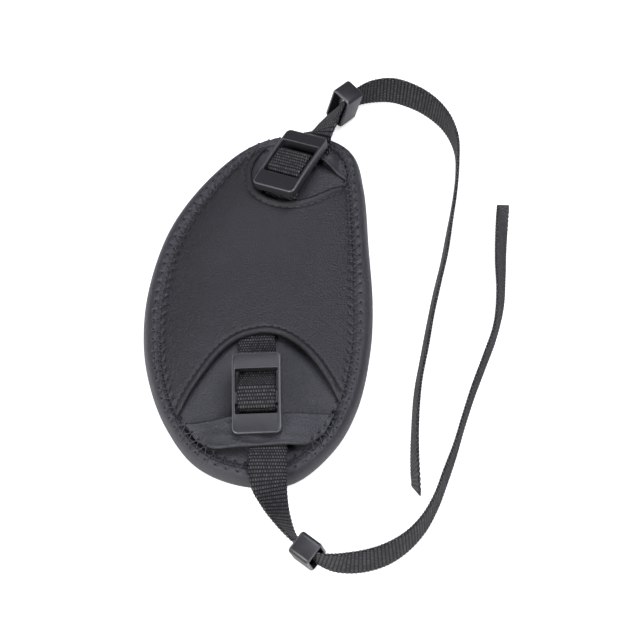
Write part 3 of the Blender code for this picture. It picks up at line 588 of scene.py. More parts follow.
ARCHES = [arch_line(UPPER_ARCH, 260), arch_line(LOWER_ARCH, 260)]


def panel_floor(x, y):
    share = np.clip((inside_seam(x, y) - PANEL_FLAT_EDGE) / PANEL_CROWN_RUN, 0, 1)
    return FIELD_HEIGHT + GAP + PANEL_CROWN * share * (2 - share)


def panel_top(x, y):
    """Height of the panel's front: crowned, thicker along the hems, and drawn in by the sewing."""
    off = np.minimum(off_line(ARCHES[0], x, y), off_line(ARCHES[1], x, y))
    inside = inside_seam(x, y)
    rise = HEM_RISE * (1 - ease((off - 0.45 * HEM_WIDTH) / (0.75 * HEM_WIDTH)))
    rise = rise * ease((inside - 2.2 * MM) / (3 * MM))
    groove = 0.28 * MM * bell(off - HEM_STITCH_INSET, 0.45 * MM)
    rounding = 0.75 * MM * (1 - np.minimum(off / (0.9 * MM), 1.0)) ** 2
    edge = 0.25 * MM * (1 - ease((inside - PANEL_INSET) / (0.8 * MM)))
    soft = 0.22 * MM * waves(x, y, 11, 30 * MM) * ease(inside / (10 * MM))
    pull = sewn_in(seam_step(x, y), inside)
    return panel_floor(x, y) + PANEL_THICKNESS + rise - groove - rounding - edge + soft - pull


def sheet_piece(name, grid, floor, top, look):
    """A thick sheet over a grid of places, between the heights of its back and its front."""
    rows, columns = grid.shape[:2]
    under = np.dstack([grid, floor]).reshape(-1, 3)
    over = np.dstack([grid, top]).reshape(-1, 3)
    skin = rows * columns
    faces = []
    for i in range(rows - 1):
        for j in range(columns - 1):
            a = i * columns + j
            quad = (a, a + 1, a + 1 + columns, a + columns)
            faces.append(quad[::-1])
            faces.append(tuple(k + skin for k in quad))
    rim = list(range(columns))
    rim += [i * columns + columns - 1 for i in range(1, rows)]
    rim += [(rows - 1) * columns + j for j in range(columns - 2, -1, -1)]
    rim += [i * columns for i in range(rows - 2, 0, -1)]
    for a, b in zip(rim, rim[1:] + rim[:1]):
        faces.append((a, b, b + skin, a + skin))
    return finish_piece(name, np.vstack([under, over]), faces, look, "grip")


panel_leather = leather_finish("panel_leather", PANEL_COLOUR, 0.42, PEBBLE, 0.19 * MM)
panel_grid = blend_grid(
    arch_line(UPPER_ARCH, PANEL_COLUMNS), arch_line(LOWER_ARCH, PANEL_COLUMNS),
    side_line(UPPER_ARCH[0], LOWER_ARCH[0], PANEL_ROWS, True),
    side_line(UPPER_ARCH[-1], LOWER_ARCH[-1], PANEL_ROWS, False),
)
panel_at = (panel_grid[..., 0], panel_grid[..., 1])
panel = sheet_piece("panel", panel_grid, panel_floor(*panel_at), panel_top(*panel_at), panel_leather)
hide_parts("centre_panel")


# Cross bands
# A leather band near each end of the pad, sewn down at both ends. It holds the cut end of the short
# webbing and the sewn end of the long strap, and the buckle's outer end rests on it.

BAND_THICKNESS = 0.9 * MM
BAND_LIFT = 2 * WEB_THICKNESS + 2 * GAP
BAND_LIFT_SIDE = 1.5 * MM
# How far from its middle the lift ends on the left and right, and how far it fades out from there
# at the band's inner and outer edges. The inner edge also stands up by the tilt.
LOWER_BAND_LIFT = {
    "left": 8.0 * MM, "right": 8.0 * MM, "inner": 14.0 * MM, "outer": 14.0 * MM, "tilt": 1.1 * MM,
}
UPPER_BAND_LIFT = {
    "left": 8.3 * MM, "right": 6.4 * MM, "inner": 7.0 * MM, "outer": 3.5 * MM, "tilt": 0.0,
}
BAND_COLOUR = (0.042, 0.043, 0.051)
LOWER_BAND_INNER = [(-22.3, -45.6), (-8.0, -44.3), (8.0, -43.3), (24.2, -42.0)]
LOWER_BAND_OUTER = [
    (-18.6, -51.0), (-13.5, -54.2), (-3.0, -54.3), (8.0, -53.6), (15.5, -53.0), (21.0, -48.6),
]
UPPER_BAND_INNER = [(5.8, 54.8), (12.5, 53.8), (19.6, 51.9), (23.6, 49.1), (28.3, 45.4)]
UPPER_BAND_OUTER = [
    (7.0, 57.0), (9.8, 57.8), (13.7, 56.5), (16.8, 54.9), (20.0, 53.4), (22.6, 52.9), (24.3, 54.5),
    (26.3, 54.4), (27.8, 52.0), (28.9, 47.4),
]
# Where the buckles lie, in millimetres, and how they are turned, in degrees
LOWER_BUCKLE = {"at": (0.1, -38.7), "heading": 91.0, "slope": 10.0, "roll": 4.0}
UPPER_BUCKLE = {"at": (10.2, 46.9), "heading": 63.0, "slope": -6.0, "roll": 13.0}

band_leather = leather_finish("band_leather", BAND_COLOUR, 0.43, PEBBLE, 0.17 * MM)


def cross_band(name, node, inner, outer, off_web, lifted, columns=141, rows=31):
    """A band between its two edges, lifted over the webbing: off_web gives how far a point lies
    from the middle of the lift."""
    inner_line = even_points(smooth_points(inner, 12), columns) * MM
    outer_line = even_points(smooth_points(outer, 12), columns) * MM
    share = np.linspace(0, 1, rows)[:, None, None]
    grid = (1 - share) * inner_line[None] + share * outer_line[None]
    x, y = grid[..., 0], grid[..., 1]
    down = share[..., 0]
    off = off_web(x, y)
    beyond = np.maximum(off - lifted["right"], -off - lifted["left"])
    fade = (1 - down) * lifted["inner"] + down * lifted["outer"]
    lift = BAND_LIFT * (1 - ease(beyond / fade))
    floor = FIELD_HEIGHT + GAP + lift + lifted["tilt"] * (1 - down)
    edge = np.minimum(down, 1 - down) * np.linalg.norm(inner_line - outer_line, axis=1)[None]
    rounding = 0.4 * MM * (1 - np.minimum(edge / (0.7 * MM), 1)) ** 2
    depth = (0.12 + 0.3 * bell(off, 9 * MM)) * MM
    creases = depth * (1 - waves(x, y * 2.4, 7, 8 * MM)) * ease(edge / (1.5 * MM))
    top = floor + BAND_THICKNESS - rounding - creases - sewn_in(seam_step(x, y), inside_seam(x, y))
    band = sheet_piece(name, grid, floor, top, band_leather)
    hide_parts(node)
    return band


def off_axis(place):
    """How far a point lies across from the middle of a band's lift, which takes in the webbing and
    the long strap beside it, as a function."""
    turn = math.radians(place["heading"])
    x0, y0 = np.array(place["at"]) * MM
    return lambda x, y: (x - x0) * math.sin(turn) - (y - y0) * math.cos(turn) - BAND_LIFT_SIDE


lower_band = cross_band("lower_cross_band", "lower_band", LOWER_BAND_INNER, LOWER_BAND_OUTER,
                        off_axis(LOWER_BUCKLE), LOWER_BAND_LIFT)
upper_band = cross_band("upper_cross_band", "upper_band", UPPER_BAND_INNER, UPPER_BAND_OUTER,
                        off_axis(UPPER_BUCKLE), UPPER_BAND_LIFT)


# Slide buckles
# Each is moulded in one from a hard, slightly glossy plastic: a frame with a long window, and a
# narrower bar across it that lies lower, over which the short webbing is folded.

BUCKLE_WIDTH = 15.2 * MM
BUCKLE_LENGTH = 26.0 * MM
BUCKLE_THICKNESS = 3.6 * MM
BUCKLE_CORNER = 1.7 * MM
BUCKLE_SEAT = 0.9 * MM
BUCKLE_CROWN = 0.6 * MM
SIDE_PARTS = 8
OUTER_EDGE = 0.55 * MM
INNER_EDGE = 0.25 * MM
WINDOW_WIDTH = 13.4 * MM
WINDOW_LENGTH = 14.8 * MM
WINDOW_CORNER = 0.5 * MM
WINDOW_OFFSET = 0.5 * MM
# Length of each cross bar along its buckle, and how far it lies beyond the window's middle
LOWER_BAR = (5.0 * MM, -1.6 * MM)
UPPER_BAR = (6.8 * MM, -1.0 * MM)
BAR_TOP = 0.2 * MM
PLASTIC_COLOUR = (0.031, 0.031, 0.035)
# Pale colour painted along the rounded edges of the buckles and keepers as a highlight
EDGE_HIGHLIGHT_COLOUR = (0.17, 0.17, 0.185)
RIM_POLISH = 0.12
SHARP_EDGE = math.radians(50)
BAND_TOP = FIELD_HEIGHT + GAP + BAND_LIFT + BAND_THICKNESS


def turned(heading, slope, roll):
    """Rotation of a buckle: its length along the heading, its far end up by slope and its right side
    up by roll."""
    along = Matrix.Rotation(math.radians(heading - 90), 3, "Z")
    tilt = Matrix.Rotation(math.radians(slope), 3, "X")
    rolled = Matrix.Rotation(math.radians(-roll), 3, "Y")
    return along @ tilt @ rolled


def buckle_frame(place):
    """Rotation and middle of a buckle whose lower end rests on its band."""
    rotation = turned(place["heading"], place["slope"], place["roll"])
    corners = [
        rotation @ Vector((x, y, -BUCKLE_THICKNESS / 2))
        for x in (-WEB_WIDTH / 2, WEB_WIDTH / 2)
        for y in (-BUCKLE_LENGTH / 2 + BUCKLE_SEAT, BUCKLE_LENGTH / 2 - BUCKLE_SEAT)
    ]
    lowest = min(corner.z for corner in corners)
    seat = BAND_TOP + GAP
    return rotation, Vector((place["at"][0] * MM, place["at"][1] * MM, seat - lowest))


def plastic_finish(name, colour, edge_highlight_colour, roughness):
    """Moulded plastic: a very fine texture from the mould, faint handling marks, and edges smoother where
    the attribute called rim is high, with a painted highlight that makes them pale there."""
    look, tree, shader = new_finish(name, colour, roughness, Specular_IOR_Level=0.5)
    rim = add_node(tree, "ShaderNodeAttribute", {}, attribute_name="rim").outputs["Fac"]
    # Painted highlight: a pale colour mixed in along the rounded edges where rim is high
    painted_edge_highlight = add_node(tree, "ShaderNodeMix", {
        "Factor": rim, "A": tone(colour, 1), "B": tone(edge_highlight_colour, 1),
    }, data_type="RGBA")
    set_bump(tree, shader, clouds(tree, 5200.0, 2.0).outputs["Fac"], 0.015 * MM, 0.6)
    marks = clouds(tree, 320.0, 5.0, Roughness=0.7).outputs["Fac"]
    polish = uneven_polish(tree, marks, roughness - 0.05, roughness + 0.07)
    smoother = multiply_add(tree, rim, -RIM_POLISH, polish)
    tree.links.new(painted_edge_highlight.outputs["Result"], shader.inputs["Base Color"])
    tree.links.new(smoother, shader.inputs["Roughness"])
    return look


def rounded_rectangle(width, length, corner, middle=0.0, steps=6, along=1):
    """Points round a rectangle with round corners, anticlockwise, with its long sides in so many
    parts."""
    points = []
    for k, (sx, sy) in enumerate(((1, 1), (-1, 1), (-1, -1), (1, -1))):
        cx = sx * (width / 2 - corner)
        cy = sy * (length / 2 - corner) + middle
        for i in range(steps + 1):
            angle = math.pi / 2 * (k + i / steps)
            points.append((cx + corner * math.cos(angle), cy + corner * math.sin(angle)))
        if k % 2:
            for i in range(1, along):
                points.append((sx * width / 2, cy + 2 * (middle - cy) * i / along))
    return points


def edge_arc(low, high, radius, steps=4):
    """Heights and insets of a wall from low to high with rounded edges at both."""
    arc = []
    for i in range(steps + 1):
        turn = math.pi / 2 * i / steps
        arc.append((low + radius * (1 - math.sin(turn)), radius * (1 - math.cos(turn))))
    arc = arc[::-1]
    return arc + [(low + high - height, inset) for height, inset in arc[::-1]]


def placed(points, rotation, middle):
    """Points of a piece's own frame, turned and moved to where it lies."""
    turn = np.array(rotation)
    return np.array(points) @ turn.T + np.array(middle)


plastic = plastic_finish("moulded_plastic", PLASTIC_COLOUR, EDGE_HIGHLIGHT_COLOUR, 0.32)


def mark_rims(piece, values):
    """Gives the piece its rim attribute, from 0 to 1 at each point. Points after the last have 0."""
    layer = piece.data.attributes.new("rim", "FLOAT", "POINT")
    filled = np.zeros(len(piece.data.vertices), np.float32)
    filled[:len(values)] = values
    layer.data.foreach_set("value", filled)


def rim_shares(heights, top, radius):
    """How much each ring of a wall lies on its upper rounded edge, which is 0 at both its ends."""
    shares = [(height - top + radius) / radius for height in heights]
    return [max(0.0, 4 * share * (1 - share)) for share in shares]


def moulded_piece(name, node, body, vertices, faces, rims, lies):
    """A plastic piece, turned and moved to where it lies, with its rims marked and sharp edges
    kept."""
    piece = finish_piece(name, placed(vertices, *lies), faces, plastic, body)
    mark_rims(piece, rims)
    piece.data.set_sharp_from_angle(angle=SHARP_EDGE)
    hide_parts(node)
    return piece


def slide_buckle(name, node, place, bar_length, bar_offset):
    """A frame with its window, a little lower towards both ends, and the bar let into its sides."""
    half = BUCKLE_THICKNESS / 2
    rings = []
    outside = edge_arc(-half, half, OUTER_EDGE)
    inside = edge_arc(-half, half, INNER_EDGE)[::-1]
    rims = rim_shares([height for height, _ in outside], half, OUTER_EDGE)
    rims += rim_shares([height for height, _ in inside], half, INNER_EDGE)
    for height, inset in outside:
        outline = rounded_rectangle(BUCKLE_WIDTH - 2 * inset, BUCKLE_LENGTH - 2 * inset,
                                    BUCKLE_CORNER - inset, along=SIDE_PARTS)
        rings.append([(x, y, height) for x, y in outline])
    for height, inset in inside:
        outline = rounded_rectangle(WINDOW_WIDTH + 2 * inset, WINDOW_LENGTH + 2 * inset,
                                    WINDOW_CORNER + inset, WINDOW_OFFSET, along=SIDE_PARTS)
        rings.append([(x, y, height) for x, y in outline])
    count = len(rings[0])
    vertices = [(x, y, z - max(z, 0) / half * BUCKLE_CROWN * (2 * y / BUCKLE_LENGTH) ** 2)
                for ring in rings for x, y, z in ring]
    faces = ring_faces(len(rings), count, closed=True)
    bar_middle = WINDOW_OFFSET + bar_offset
    bar = rounded_rectangle(bar_length, half + BAR_TOP, 0.7 * MM)
    first = len(vertices)
    for side in (-1, 1):
        across = side * (WINDOW_WIDTH / 2 + 0.2 * MM)
        vertices += [(across, bar_middle + y, z + (BAR_TOP - half) / 2) for y, z in bar]
    faces += [tuple(first + k for k in face) for face in ring_faces(2, len(bar))]
    faces += end_faces(2, len(bar), first)
    rims = np.repeat(rims, count)
    return moulded_piece(name, node, "grip", vertices, faces, rims, buckle_frame(place))


slide_buckle("lower_slide_buckle", "lower_buckle", LOWER_BUCKLE, *LOWER_BAR)
slide_buckle("upper_slide_buckle", "upper_buckle", UPPER_BUCKLE, *UPPER_BAR)


# Short webbings
# A short webbing comes out from under each end of the panel, folds over its buckle's bar, and ends
# under the band, where it is cut square.

TURN_RADIUS = 1.2 * MM
WEB_TURN_HEIGHT = 5 * MM
# Places along the buckle's heading from its middle, and heights over the pad, in millimetres
LOWER_APPROACH = [
    (34.5, 0), (30.5, 0), (27.0, 0), (24.4, 0.05), (22.3, 0.35), (20.0, 1.1), (16.2, 2.6),
    (10.0, 4.7), (5.6, 6.6),
]
LOWER_LEAVE = [
    (-4.1, 5.3), (-3.7, 3.4), (-3.9, 2.0), (-4.8, 0.75), (-6.4, 0.1), (-8.6, 0), (-11.2, 0),
    (-13.8, 0),
]
UPPER_APPROACH = [
    (-25.0, 0), (-20.0, 0), (-15.0, 0), (-12.0, 0.0), (-10.4, 0.02), (-9.3, 0.33), (-8.1, 1.9),
    (-7.0, 4.1), (-5.9, 6.2),
]
UPPER_LEAVE = [(4.5, 4.6), (5.1, 2.4), (5.9, 0.9), (7.1, 0.08), (8.3, 0), (9.4, 0)]


def web_route(place, bar_size, outer_way, approach, leave):
    """The short webbing's line, as in the frame: under the panel, over the bar and under the band."""
    rotation, middle = buckle_frame(place)
    level = FIELD_HEIGHT + GAP + WEB_THICKNESS / 2
    turn = math.radians(place["heading"])
    flat = Vector((math.cos(turn), math.sin(turn), 0))
    beside = Vector((flat.y, -flat.x, 0))
    upright = rotation @ Vector((0, 0, 1))

    def local(y, z):
        return middle + rotation @ Vector((0, y, z))

    def lying(along, height):
        """A point outside the buckle, moved to the side with height as the rolled buckle's is."""
        rise = level + height * MM - middle.z
        share = min(height * MM / WEB_TURN_HEIGHT, 1.0)
        at = middle + flat * along * MM + beside * rise * share * upright.dot(beside) / upright.z
        return Vector((at.x, at.y, level + height * MM))

    def round_edge(edge, way, angle):
        angle = math.radians(angle)
        off = way * TURN_RADIUS * math.sin(angle)
        return local(edge + off, BAR_TOP + TURN_RADIUS * math.cos(angle))

    bar = WINDOW_OFFSET + bar_size[1]
    outer_edge = bar + outer_way * bar_size[0] / 2
    panel_edge = bar - outer_way * bar_size[0] / 2
    points = [lying(*point) for point in approach]
    points += [round_edge(panel_edge, -outer_way, angle) for angle in (50, 25, 0)]
    points += [local(bar, BAR_TOP + TURN_RADIUS)]
    points += [round_edge(outer_edge, outer_way, angle) for angle in (0, 40, 75)]
    points += [lying(*point) for point in leave]
    return [tuple(point) for point in points], rotation


def short_web(name, node, place, bar_size, outer_way, approach, leave):
    points, rotation = web_route(place, bar_size, outer_way, approach, leave)
    line = smooth_points(points, 12)
    centres = even_points(line, int(SAMPLES_PER_RIB * curve_length(line) / RIB_PITCH))
    across = rotation @ Vector((1, 0, 0))
    flat = np.array((across.x, across.y, 0))
    share = np.clip((centres[:, 2:] - FIELD_HEIGHT - WEB_THICKNESS) / WEB_TURN_HEIGHT, 0, 1)
    widths = unit(unit(flat) * (1 - share) + np.array(across) * share)
    return ribbed_web(name, node, centres, widths)


short_web("lower_short_web", "lower_web", LOWER_BUCKLE, LOWER_BAR, -1, LOWER_APPROACH, LOWER_LEAVE)
short_web("upper_short_web", "upper_web", UPPER_BUCKLE, UPPER_BAR, 1, UPPER_APPROACH, UPPER_LEAVE)


# Keeper loops
# A small moulded loop slides on each long strap and holds its end when the strap is doubled back.
# It is the same plastic as the buckles, open right through and a good deal deeper than one strap.

KEEPER_LENGTH = 7.4 * MM
KEEPER_DEPTH = 7.6 * MM
KEEPER_WALL = 1.0 * MM
KEEPER_END_WALL = 0.8 * MM
KEEPER_SPARE = 0.2 * MM
# How far the walls swell inwards at the middle of the loop
KEEPER_WAIST = 0.6 * MM
KEEPER_CORNER = 1.4 * MM
KEEPER_EDGE = 0.7 * MM
MOUTH_CORNER = 0.4 * MM
MOUTH_EDGE = 0.3 * MM
UPPER_KEEPER_ALONG = 26.5 * MM
LOWER_KEEPER_ALONG = 43.8 * MM
# How far each is turned on its strap, in degrees
UPPER_KEEPER_TURN = -11
LOWER_KEEPER_TURN = 0


def keeper_frame(route, along, turn):
    """Rotation and middle of a keeper so far along its strap: X along the strap, Y across its
    thickness and Z along its width, and then turned about X."""
    centres, widths = strap_line(route)
    run = distances(centres)

    def at(place, values):
        return np.array([np.interp(place, run, values[:, k]) for k in range(3)])

    start = at(along - KEEPER_LENGTH / 2, centres)
    end = at(along + KEEPER_LENGTH / 2, centres)
    ahead = Vector(unit(end - start))
    width = Vector(at(along, widths))
    width = (width - ahead * width.dot(ahead)).normalized()
    rotation = Matrix((ahead, width.cross(ahead), width)).transposed()
    rotation = rotation @ Matrix.Rotation(math.radians(turn), 3, "X")
    return rotation, (start + end + 2 * at(along, centres)) / 4


def keeper_loop(name, node, route, along, turn):
    """A loop with rounded edges, whose inside is a little narrower at the middle."""
    width = WEB_WIDTH + 2 * KEEPER_SPARE + 2 * KEEPER_END_WALL
    half = KEEPER_LENGTH / 2
    rings = []
    outside = edge_arc(-half, half, KEEPER_EDGE)
    rims = [inset * (KEEPER_EDGE - inset) * 4 / KEEPER_EDGE ** 2 for _, inset in outside]
    for place, inset in outside:
        outline = rounded_rectangle(KEEPER_DEPTH - 2 * inset, width - 2 * inset, KEEPER_CORNER - inset)
        rings.append([(place, y, z) for y, z in outline])
    mouth = edge_arc(-half, half, MOUTH_EDGE)[::-1]
    waist = [(side * 0.15 * half, -KEEPER_WAIST) for side in (1, -1)]
    for place, inset in mouth[:len(mouth) // 2] + waist + mouth[len(mouth) // 2:]:
        outline = rounded_rectangle(
            KEEPER_DEPTH - 2 * KEEPER_WALL + 2 * inset,
            width - 2 * KEEPER_END_WALL + 2 * max(inset, -KEEPER_SPARE / 2),
            MOUTH_CORNER + max(inset, 0.0),
        )
        rings.append([(place, y, z) for y, z in outline])
    vertices = [point for ring in rings for point in ring]
    faces = ring_faces(len(rings), len(rings[0]), closed=True)
    rims = np.repeat(rims, len(rings[0]))
    return moulded_piece(name, node, node, vertices, faces, rims, keeper_frame(route, along, turn))


upper_loop = keeper_loop("upper_keeper_loop", "upper_keeper", UPPER_ROUTE, UPPER_KEEPER_ALONG,
                         UPPER_KEEPER_TURN)
lower_loop = keeper_loop("lower_keeper_loop", "lower_keeper", LOWER_ROUTE, LOWER_KEEPER_ALONG,
                         LOWER_KEEPER_TURN)


# Sewing
# A zigzag of black thread all round sews the panel and the bands to the pad, and a straight line of
# short stitches runs along each hem. Every stitch dips into the leather at its needle holes.

THREAD_RADIUS = 0.15 * MM
ZIGZAG_HOLE_RADIUS = 0.36 * MM
HEM_HOLE_RADIUS = 0.26 * MM
HEM_STITCH_LENGTH = 2.3 * MM
ZIGZAG_DIP = 0.55 * MM
HEM_DIP = 0.3 * MM
THREAD_COLOUR = (0.044, 0.043, 0.050)
# Near-black of the flattened balls at the needle holes: painted shade in the holes
HOLE_SHADE_COLOUR = (0.007, 0.007, 0.008)


def thread_finish(name, colour):
    """Twisted thread with a low, silky shine."""
    look, tree, shader = new_finish(name, colour, 0.55, Sheen_Weight=0.2)
    place = add_node(tree, "ShaderNodeTexCoord", {}).outputs["Object"]
    twist = add_node(tree, "ShaderNodeTexWave", {
        "Vector": place, "Scale": 950.0, "Distortion": 2.0, "Detail": 1.0,
    }, bands_direction="DIAGONAL")
    set_bump(tree, shader, twist.outputs["Fac"], 0.06 * MM, 0.8)
    return look


def stitch_tree(thread, hole):
    """Nodes that lay a stitch, and at its start a dark, flattened ball as painted shade in its needle
    hole, on every point of a mesh. Each point has its turn and its length."""
    tree = bpy.data.node_groups.new("stitches", "GeometryNodeTree")
    face = tree.interface
    face.new_socket("Geometry", in_out="INPUT", socket_type="NodeSocketGeometry")
    for label in ("Thread radius", "Hole radius", "Dip"):
        face.new_socket(label, in_out="INPUT", socket_type="NodeSocketFloat")
    face.new_socket("Geometry", in_out="OUTPUT", socket_type="NodeSocketGeometry")

    def made(kind, inputs, **settings):
        return add_node(tree, kind, inputs, **settings).outputs[0]

    def attribute(label):
        return made("GeometryNodeInputNamedAttribute", {"Name": label}, data_type="FLOAT_VECTOR")

    def laid(piece, **inputs):
        """A piece on every point, as plain geometry."""
        inputs = {"Points": given["Geometry"], "Instance": piece, **inputs}
        copies = made("GeometryNodeInstanceOnPoints", inputs)
        return made("GeometryNodeRealizeInstances", {"Geometry": copies})

    given = tree.nodes.new("NodeGroupInput").outputs
    low = made("ShaderNodeMath", {0: given["Dip"], 1: -1.0}, operation="MULTIPLY")
    arc = made("GeometryNodeCurveQuadraticBezier", {
        "Resolution": 9,
        "Start": made("ShaderNodeCombineXYZ", {"X": 0.0, "Z": low}),
        "Middle": made("ShaderNodeCombineXYZ", {"X": 0.5, "Z": given["Dip"]}),
        "End": made("ShaderNodeCombineXYZ", {"X": 1.0, "Z": low}),
    })
    turn = made("FunctionNodeEulerToRotation", {"Euler": attribute("turn")})
    lines = laid(arc, Rotation=turn, Scale=attribute("size"))
    section = made("GeometryNodeCurvePrimitiveCircle", {"Resolution": 7, "Radius": given["Thread radius"]})
    threads = made("GeometryNodeCurveToMesh", {
        "Curve": lines, "Profile Curve": section, "Fill Caps": True,
    })
    ball = made("GeometryNodeMeshUVSphere", {"Segments": 8, "Rings": 4, "Radius": given["Hole radius"]})
    # Each ball is painted shade: a dark, flattened disc where a needle hole lies
    holes = laid(ball, Scale=(1, 1, 0.32))
    joined = tree.nodes.new("GeometryNodeJoinGeometry")
    for geometry, look in ((threads, thread), (holes, hole)):
        shown = made("GeometryNodeSetMaterial", {"Geometry": geometry, "Material": look})
        tree.links.new(shown, joined.inputs[0])
    out = tree.nodes.new("NodeGroupOutput")
    tree.links.new(joined.outputs[0], out.inputs[0])
    return tree


thread_look = thread_finish("thread", THREAD_COLOUR)
hole_shade_look, _, _ = new_finish("needle_hole_shade", HOLE_SHADE_COLOUR, 0.9)
stitches = stitch_tree(thread_look, hole_shade_look)


def sewn_line(name, starts, ends, node, dip, hole_radius):
    """Stitches from each start to its end, laid by the node tree and made a plain mesh."""
    way = ends - starts
    lengths = np.linalg.norm(way, axis=1)
    turns = np.column_stack([
        0 * lengths, -np.arcsin(way[:, 2] / lengths), np.arctan2(way[:, 1], way[:, 0]),
    ])
    mesh = bpy.data.meshes.new(name + "_points")
    mesh.from_pydata([tuple(p) for p in starts], [], [])
    mesh.attributes.new("turn", "FLOAT_VECTOR", "POINT").data.foreach_set("vector", turns.ravel())
    sizes = np.column_stack([lengths, 0 * lengths + 1, 0 * lengths + 1])
    mesh.attributes.new("size", "FLOAT_VECTOR", "POINT").data.foreach_set("vector", sizes.ravel())
    carrier = add_object(name + "_points", mesh)
    modifier = carrier.modifiers.new("stitches", "NODES")
    modifier.node_group = stitches
    values = {"Thread radius": THREAD_RADIUS, "Hole radius": hole_radius, "Dip": dip}
    for item in stitches.interface.items_tree:
        if item.name in values:
            modifier[item.identifier] = values[item.name]
    bpy.context.view_layer.update()
    graph = bpy.context.evaluated_depsgraph_get()
    made_mesh = bpy.data.meshes.new_from_object(carrier.evaluated_get(graph))
    bpy.data.objects.remove(carrier, do_unlink=True)
    made_mesh.shade_smooth()
    made = add_object(name, made_mesh)
    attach(made, "grip")
    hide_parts(node)
    return made


def on_leather(points):
    """The points with the height of the leather there."""
    heights = []
    graph = bpy.context.evaluated_depsgraph_get()
    for x, y in points:
        best = FIELD_HEIGHT
        for piece in (cover, panel, lower_band, upper_band):
            above = Vector((x, y, 50 * MM))
            hit, at, _, _ = piece.ray_cast(above, Vector((0, 0, -1)), depsgraph=graph)
            if hit:
                best = max(best, at.z)
        heights.append(best)
    return np.column_stack([points, heights])


def zigzag_corners():
    """The needle holes of the zigzag, by turns outside and inside the sewn line."""
    around = np.roll(seam_loop, -1, axis=0) - np.roll(seam_loop, 1, axis=0)
    inward = unit(np.column_stack([-around[:, 1], around[:, 0]]))
    chosen = np.arange(0, PAD_AROUND, STEPS_PER_STITCH // 2)
    way_in = np.where(np.arange(len(chosen)) % 2, 1.0, -1.0)[:, None]
    return on_leather(seam_loop[chosen] + inward[chosen] * way_in * ZIGZAG_SPAN / 2)


bpy.context.view_layer.update()
corners = zigzag_corners()
sewn_line("border_zigzag", corners, np.roll(corners, -1, axis=0), "border_thread", ZIGZAG_DIP,
          ZIGZAG_HOLE_RADIUS)


def hem_stitches(name, arch, way, node):
    """Stitches along a hem, a little shorter than their spacing."""
    line = arch_line(arch, 400)
    ahead = unit(np.gradient(line, axis=0))
    line = line + np.column_stack([-ahead[:, 1], ahead[:, 0]]) * way * HEM_STITCH_INSET
    line = line[inside_seam(line[:, 0], line[:, 1]) > 1.2 * MM]
    count = int(curve_length(line) / HEM_STITCH_LENGTH)
    line = on_leather(even_points(line, count + 1)) + (0, 0, 0.02 * MM)
    starts = line[:-1]
    ends = starts + (line[1:] - starts) * 0.86
    return sewn_line(name, starts, ends, node, HEM_DIP, HEM_HOLE_RADIUS)


hem_stitches("upper_hem_stitches", UPPER_ARCH, -1, "upper_hem_thread")
hem_stitches("lower_hem_stitches", LOWER_ARCH, 1, "lower_hem_thread")
for tack in ("upper_web_tack", "lower_web_tack"):
    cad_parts[tack].data.materials.clear()
    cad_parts[tack].data.materials.append(thread_look)


# Back lining
# A plain woven cloth closes the back of the pad inside the turned-in leather.

LINING_COLOUR = (0.020, 0.020, 0.022)


def lining_finish(name, colour):
    """A fine plain weave: the higher of two sets of threads, one along X and one along Y."""
    look, tree, shader = new_finish(name, colour, 0.9, Sheen_Weight=0.25)
    place = add_node(tree, "ShaderNodeTexCoord", {}).outputs["Object"]
    inputs = {"Vector": place, "Scale": 330.0, "Distortion": 0.6}
    over, under = (
        add_node(tree, "ShaderNodeTexWave", inputs, bands_direction=way).outputs["Fac"] for way in "XY"
    )
    cloth = add_node(tree, "ShaderNodeMath", {0: over, 1: under}, operation="MAXIMUM")
    set_bump(tree, shader, cloth.outputs[0], 0.12 * MM, 0.8)
    return look


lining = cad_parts["rear_lining"]
lining.data.materials.clear()
lining.data.materials.append(lining_finish("lining_cloth", LINING_COLOUR))


# Table and light
# A pale table under two large soft lamps, overhead and at the front left, and a weak one on the
# right. The table and the world are white to the camera and faintly so in reflections.

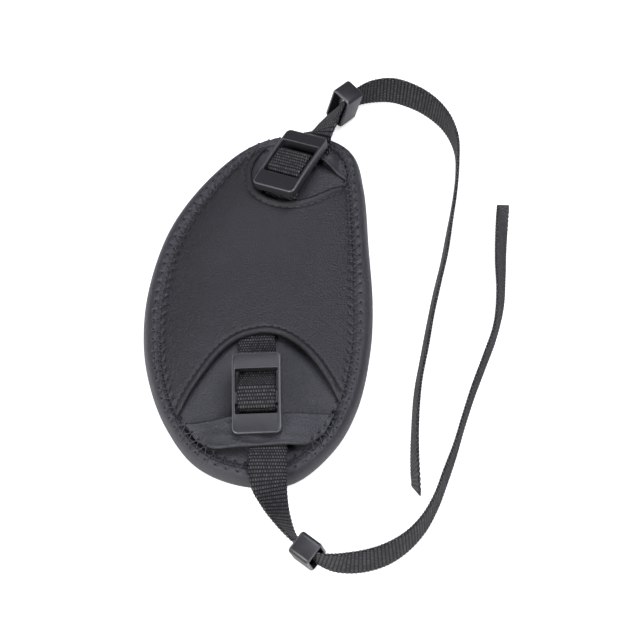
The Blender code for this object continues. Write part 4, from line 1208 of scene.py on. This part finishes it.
FLOOR_SIZE = 4.0
FLOOR_COLOUR = (0.9, 0.9, 0.9)
LAMPS = {
    "overhead": {"at": (0.24, 0.09, 0.91), "size": 0.65, "power": 7.4, "colour": (0.9, 0.92, 1.0)},
    "right": {"at": (0.9, -0.1, 0.5), "size": 0.6, "power": 0.8, "colour": (1.0, 1.0, 1.0)},
    "front left": {"at": (-0.5, -0.65, 0.6), "size": 0.5, "power": 8.2, "colour": (1.0, 1.0, 1.0)},
}
WORLD_LIGHT = 0.3
TABLE_GLOW = 0.66
BACKGROUND_IN_REFLECTIONS = 0.15


def background_rays(tree):
    """A socket that is 1 for camera rays, less for glossy and transmission rays, and else 0."""
    rays = tree.nodes.new("ShaderNodeLightPath")
    seen = rays.outputs["Is Camera Ray"]
    for kind in ("Is Glossy Ray", "Is Transmission Ray"):
        seen = multiply_add(tree, rays.outputs[kind], BACKGROUND_IN_REFLECTIONS, seen)
    return seen


table_mesh = bpy.data.meshes.new("table")
ends = (-FLOOR_SIZE / 2, FLOOR_SIZE / 2)
table_mesh.from_pydata([(x, y, 0) for x in ends for y in ends], [], [(0, 2, 3, 1)])
table = add_object("table", table_mesh)
table_look, table_tree, table_shader = new_finish("table", FLOOR_COLOUR, 0.9)
glow = multiply_add(table_tree, background_rays(table_tree), TABLE_GLOW, 0.0)
table_shader.inputs["Emission Color"].default_value = (1, 1, 1, 1)
table_tree.links.new(glow, table_shader.inputs["Emission Strength"])
table_mesh.materials.append(table_look)

for name, lamp in LAMPS.items():
    data = bpy.data.lights.new(name, "AREA")
    data.shape = "SQUARE"
    data.size = lamp["size"]
    data.energy = lamp["power"]
    data.color = lamp["colour"]
    light = add_object(name, data)
    light.location = lamp["at"]
    aim = CAMERA_TARGET - Vector(lamp["at"])
    light.rotation_euler = aim.to_track_quat("-Z", "Y").to_euler()

world = bpy.data.worlds.new("studio")
world.use_nodes = True
bpy.context.scene.world = world
background = world.node_tree.nodes["Background"]
strength = add_node(world.node_tree, "ShaderNodeMapRange", {
    "Value": background_rays(world.node_tree), "To Min": WORLD_LIGHT, "To Max": 1.0,
})
world.node_tree.links.new(strength.outputs["Result"], background.inputs["Strength"])
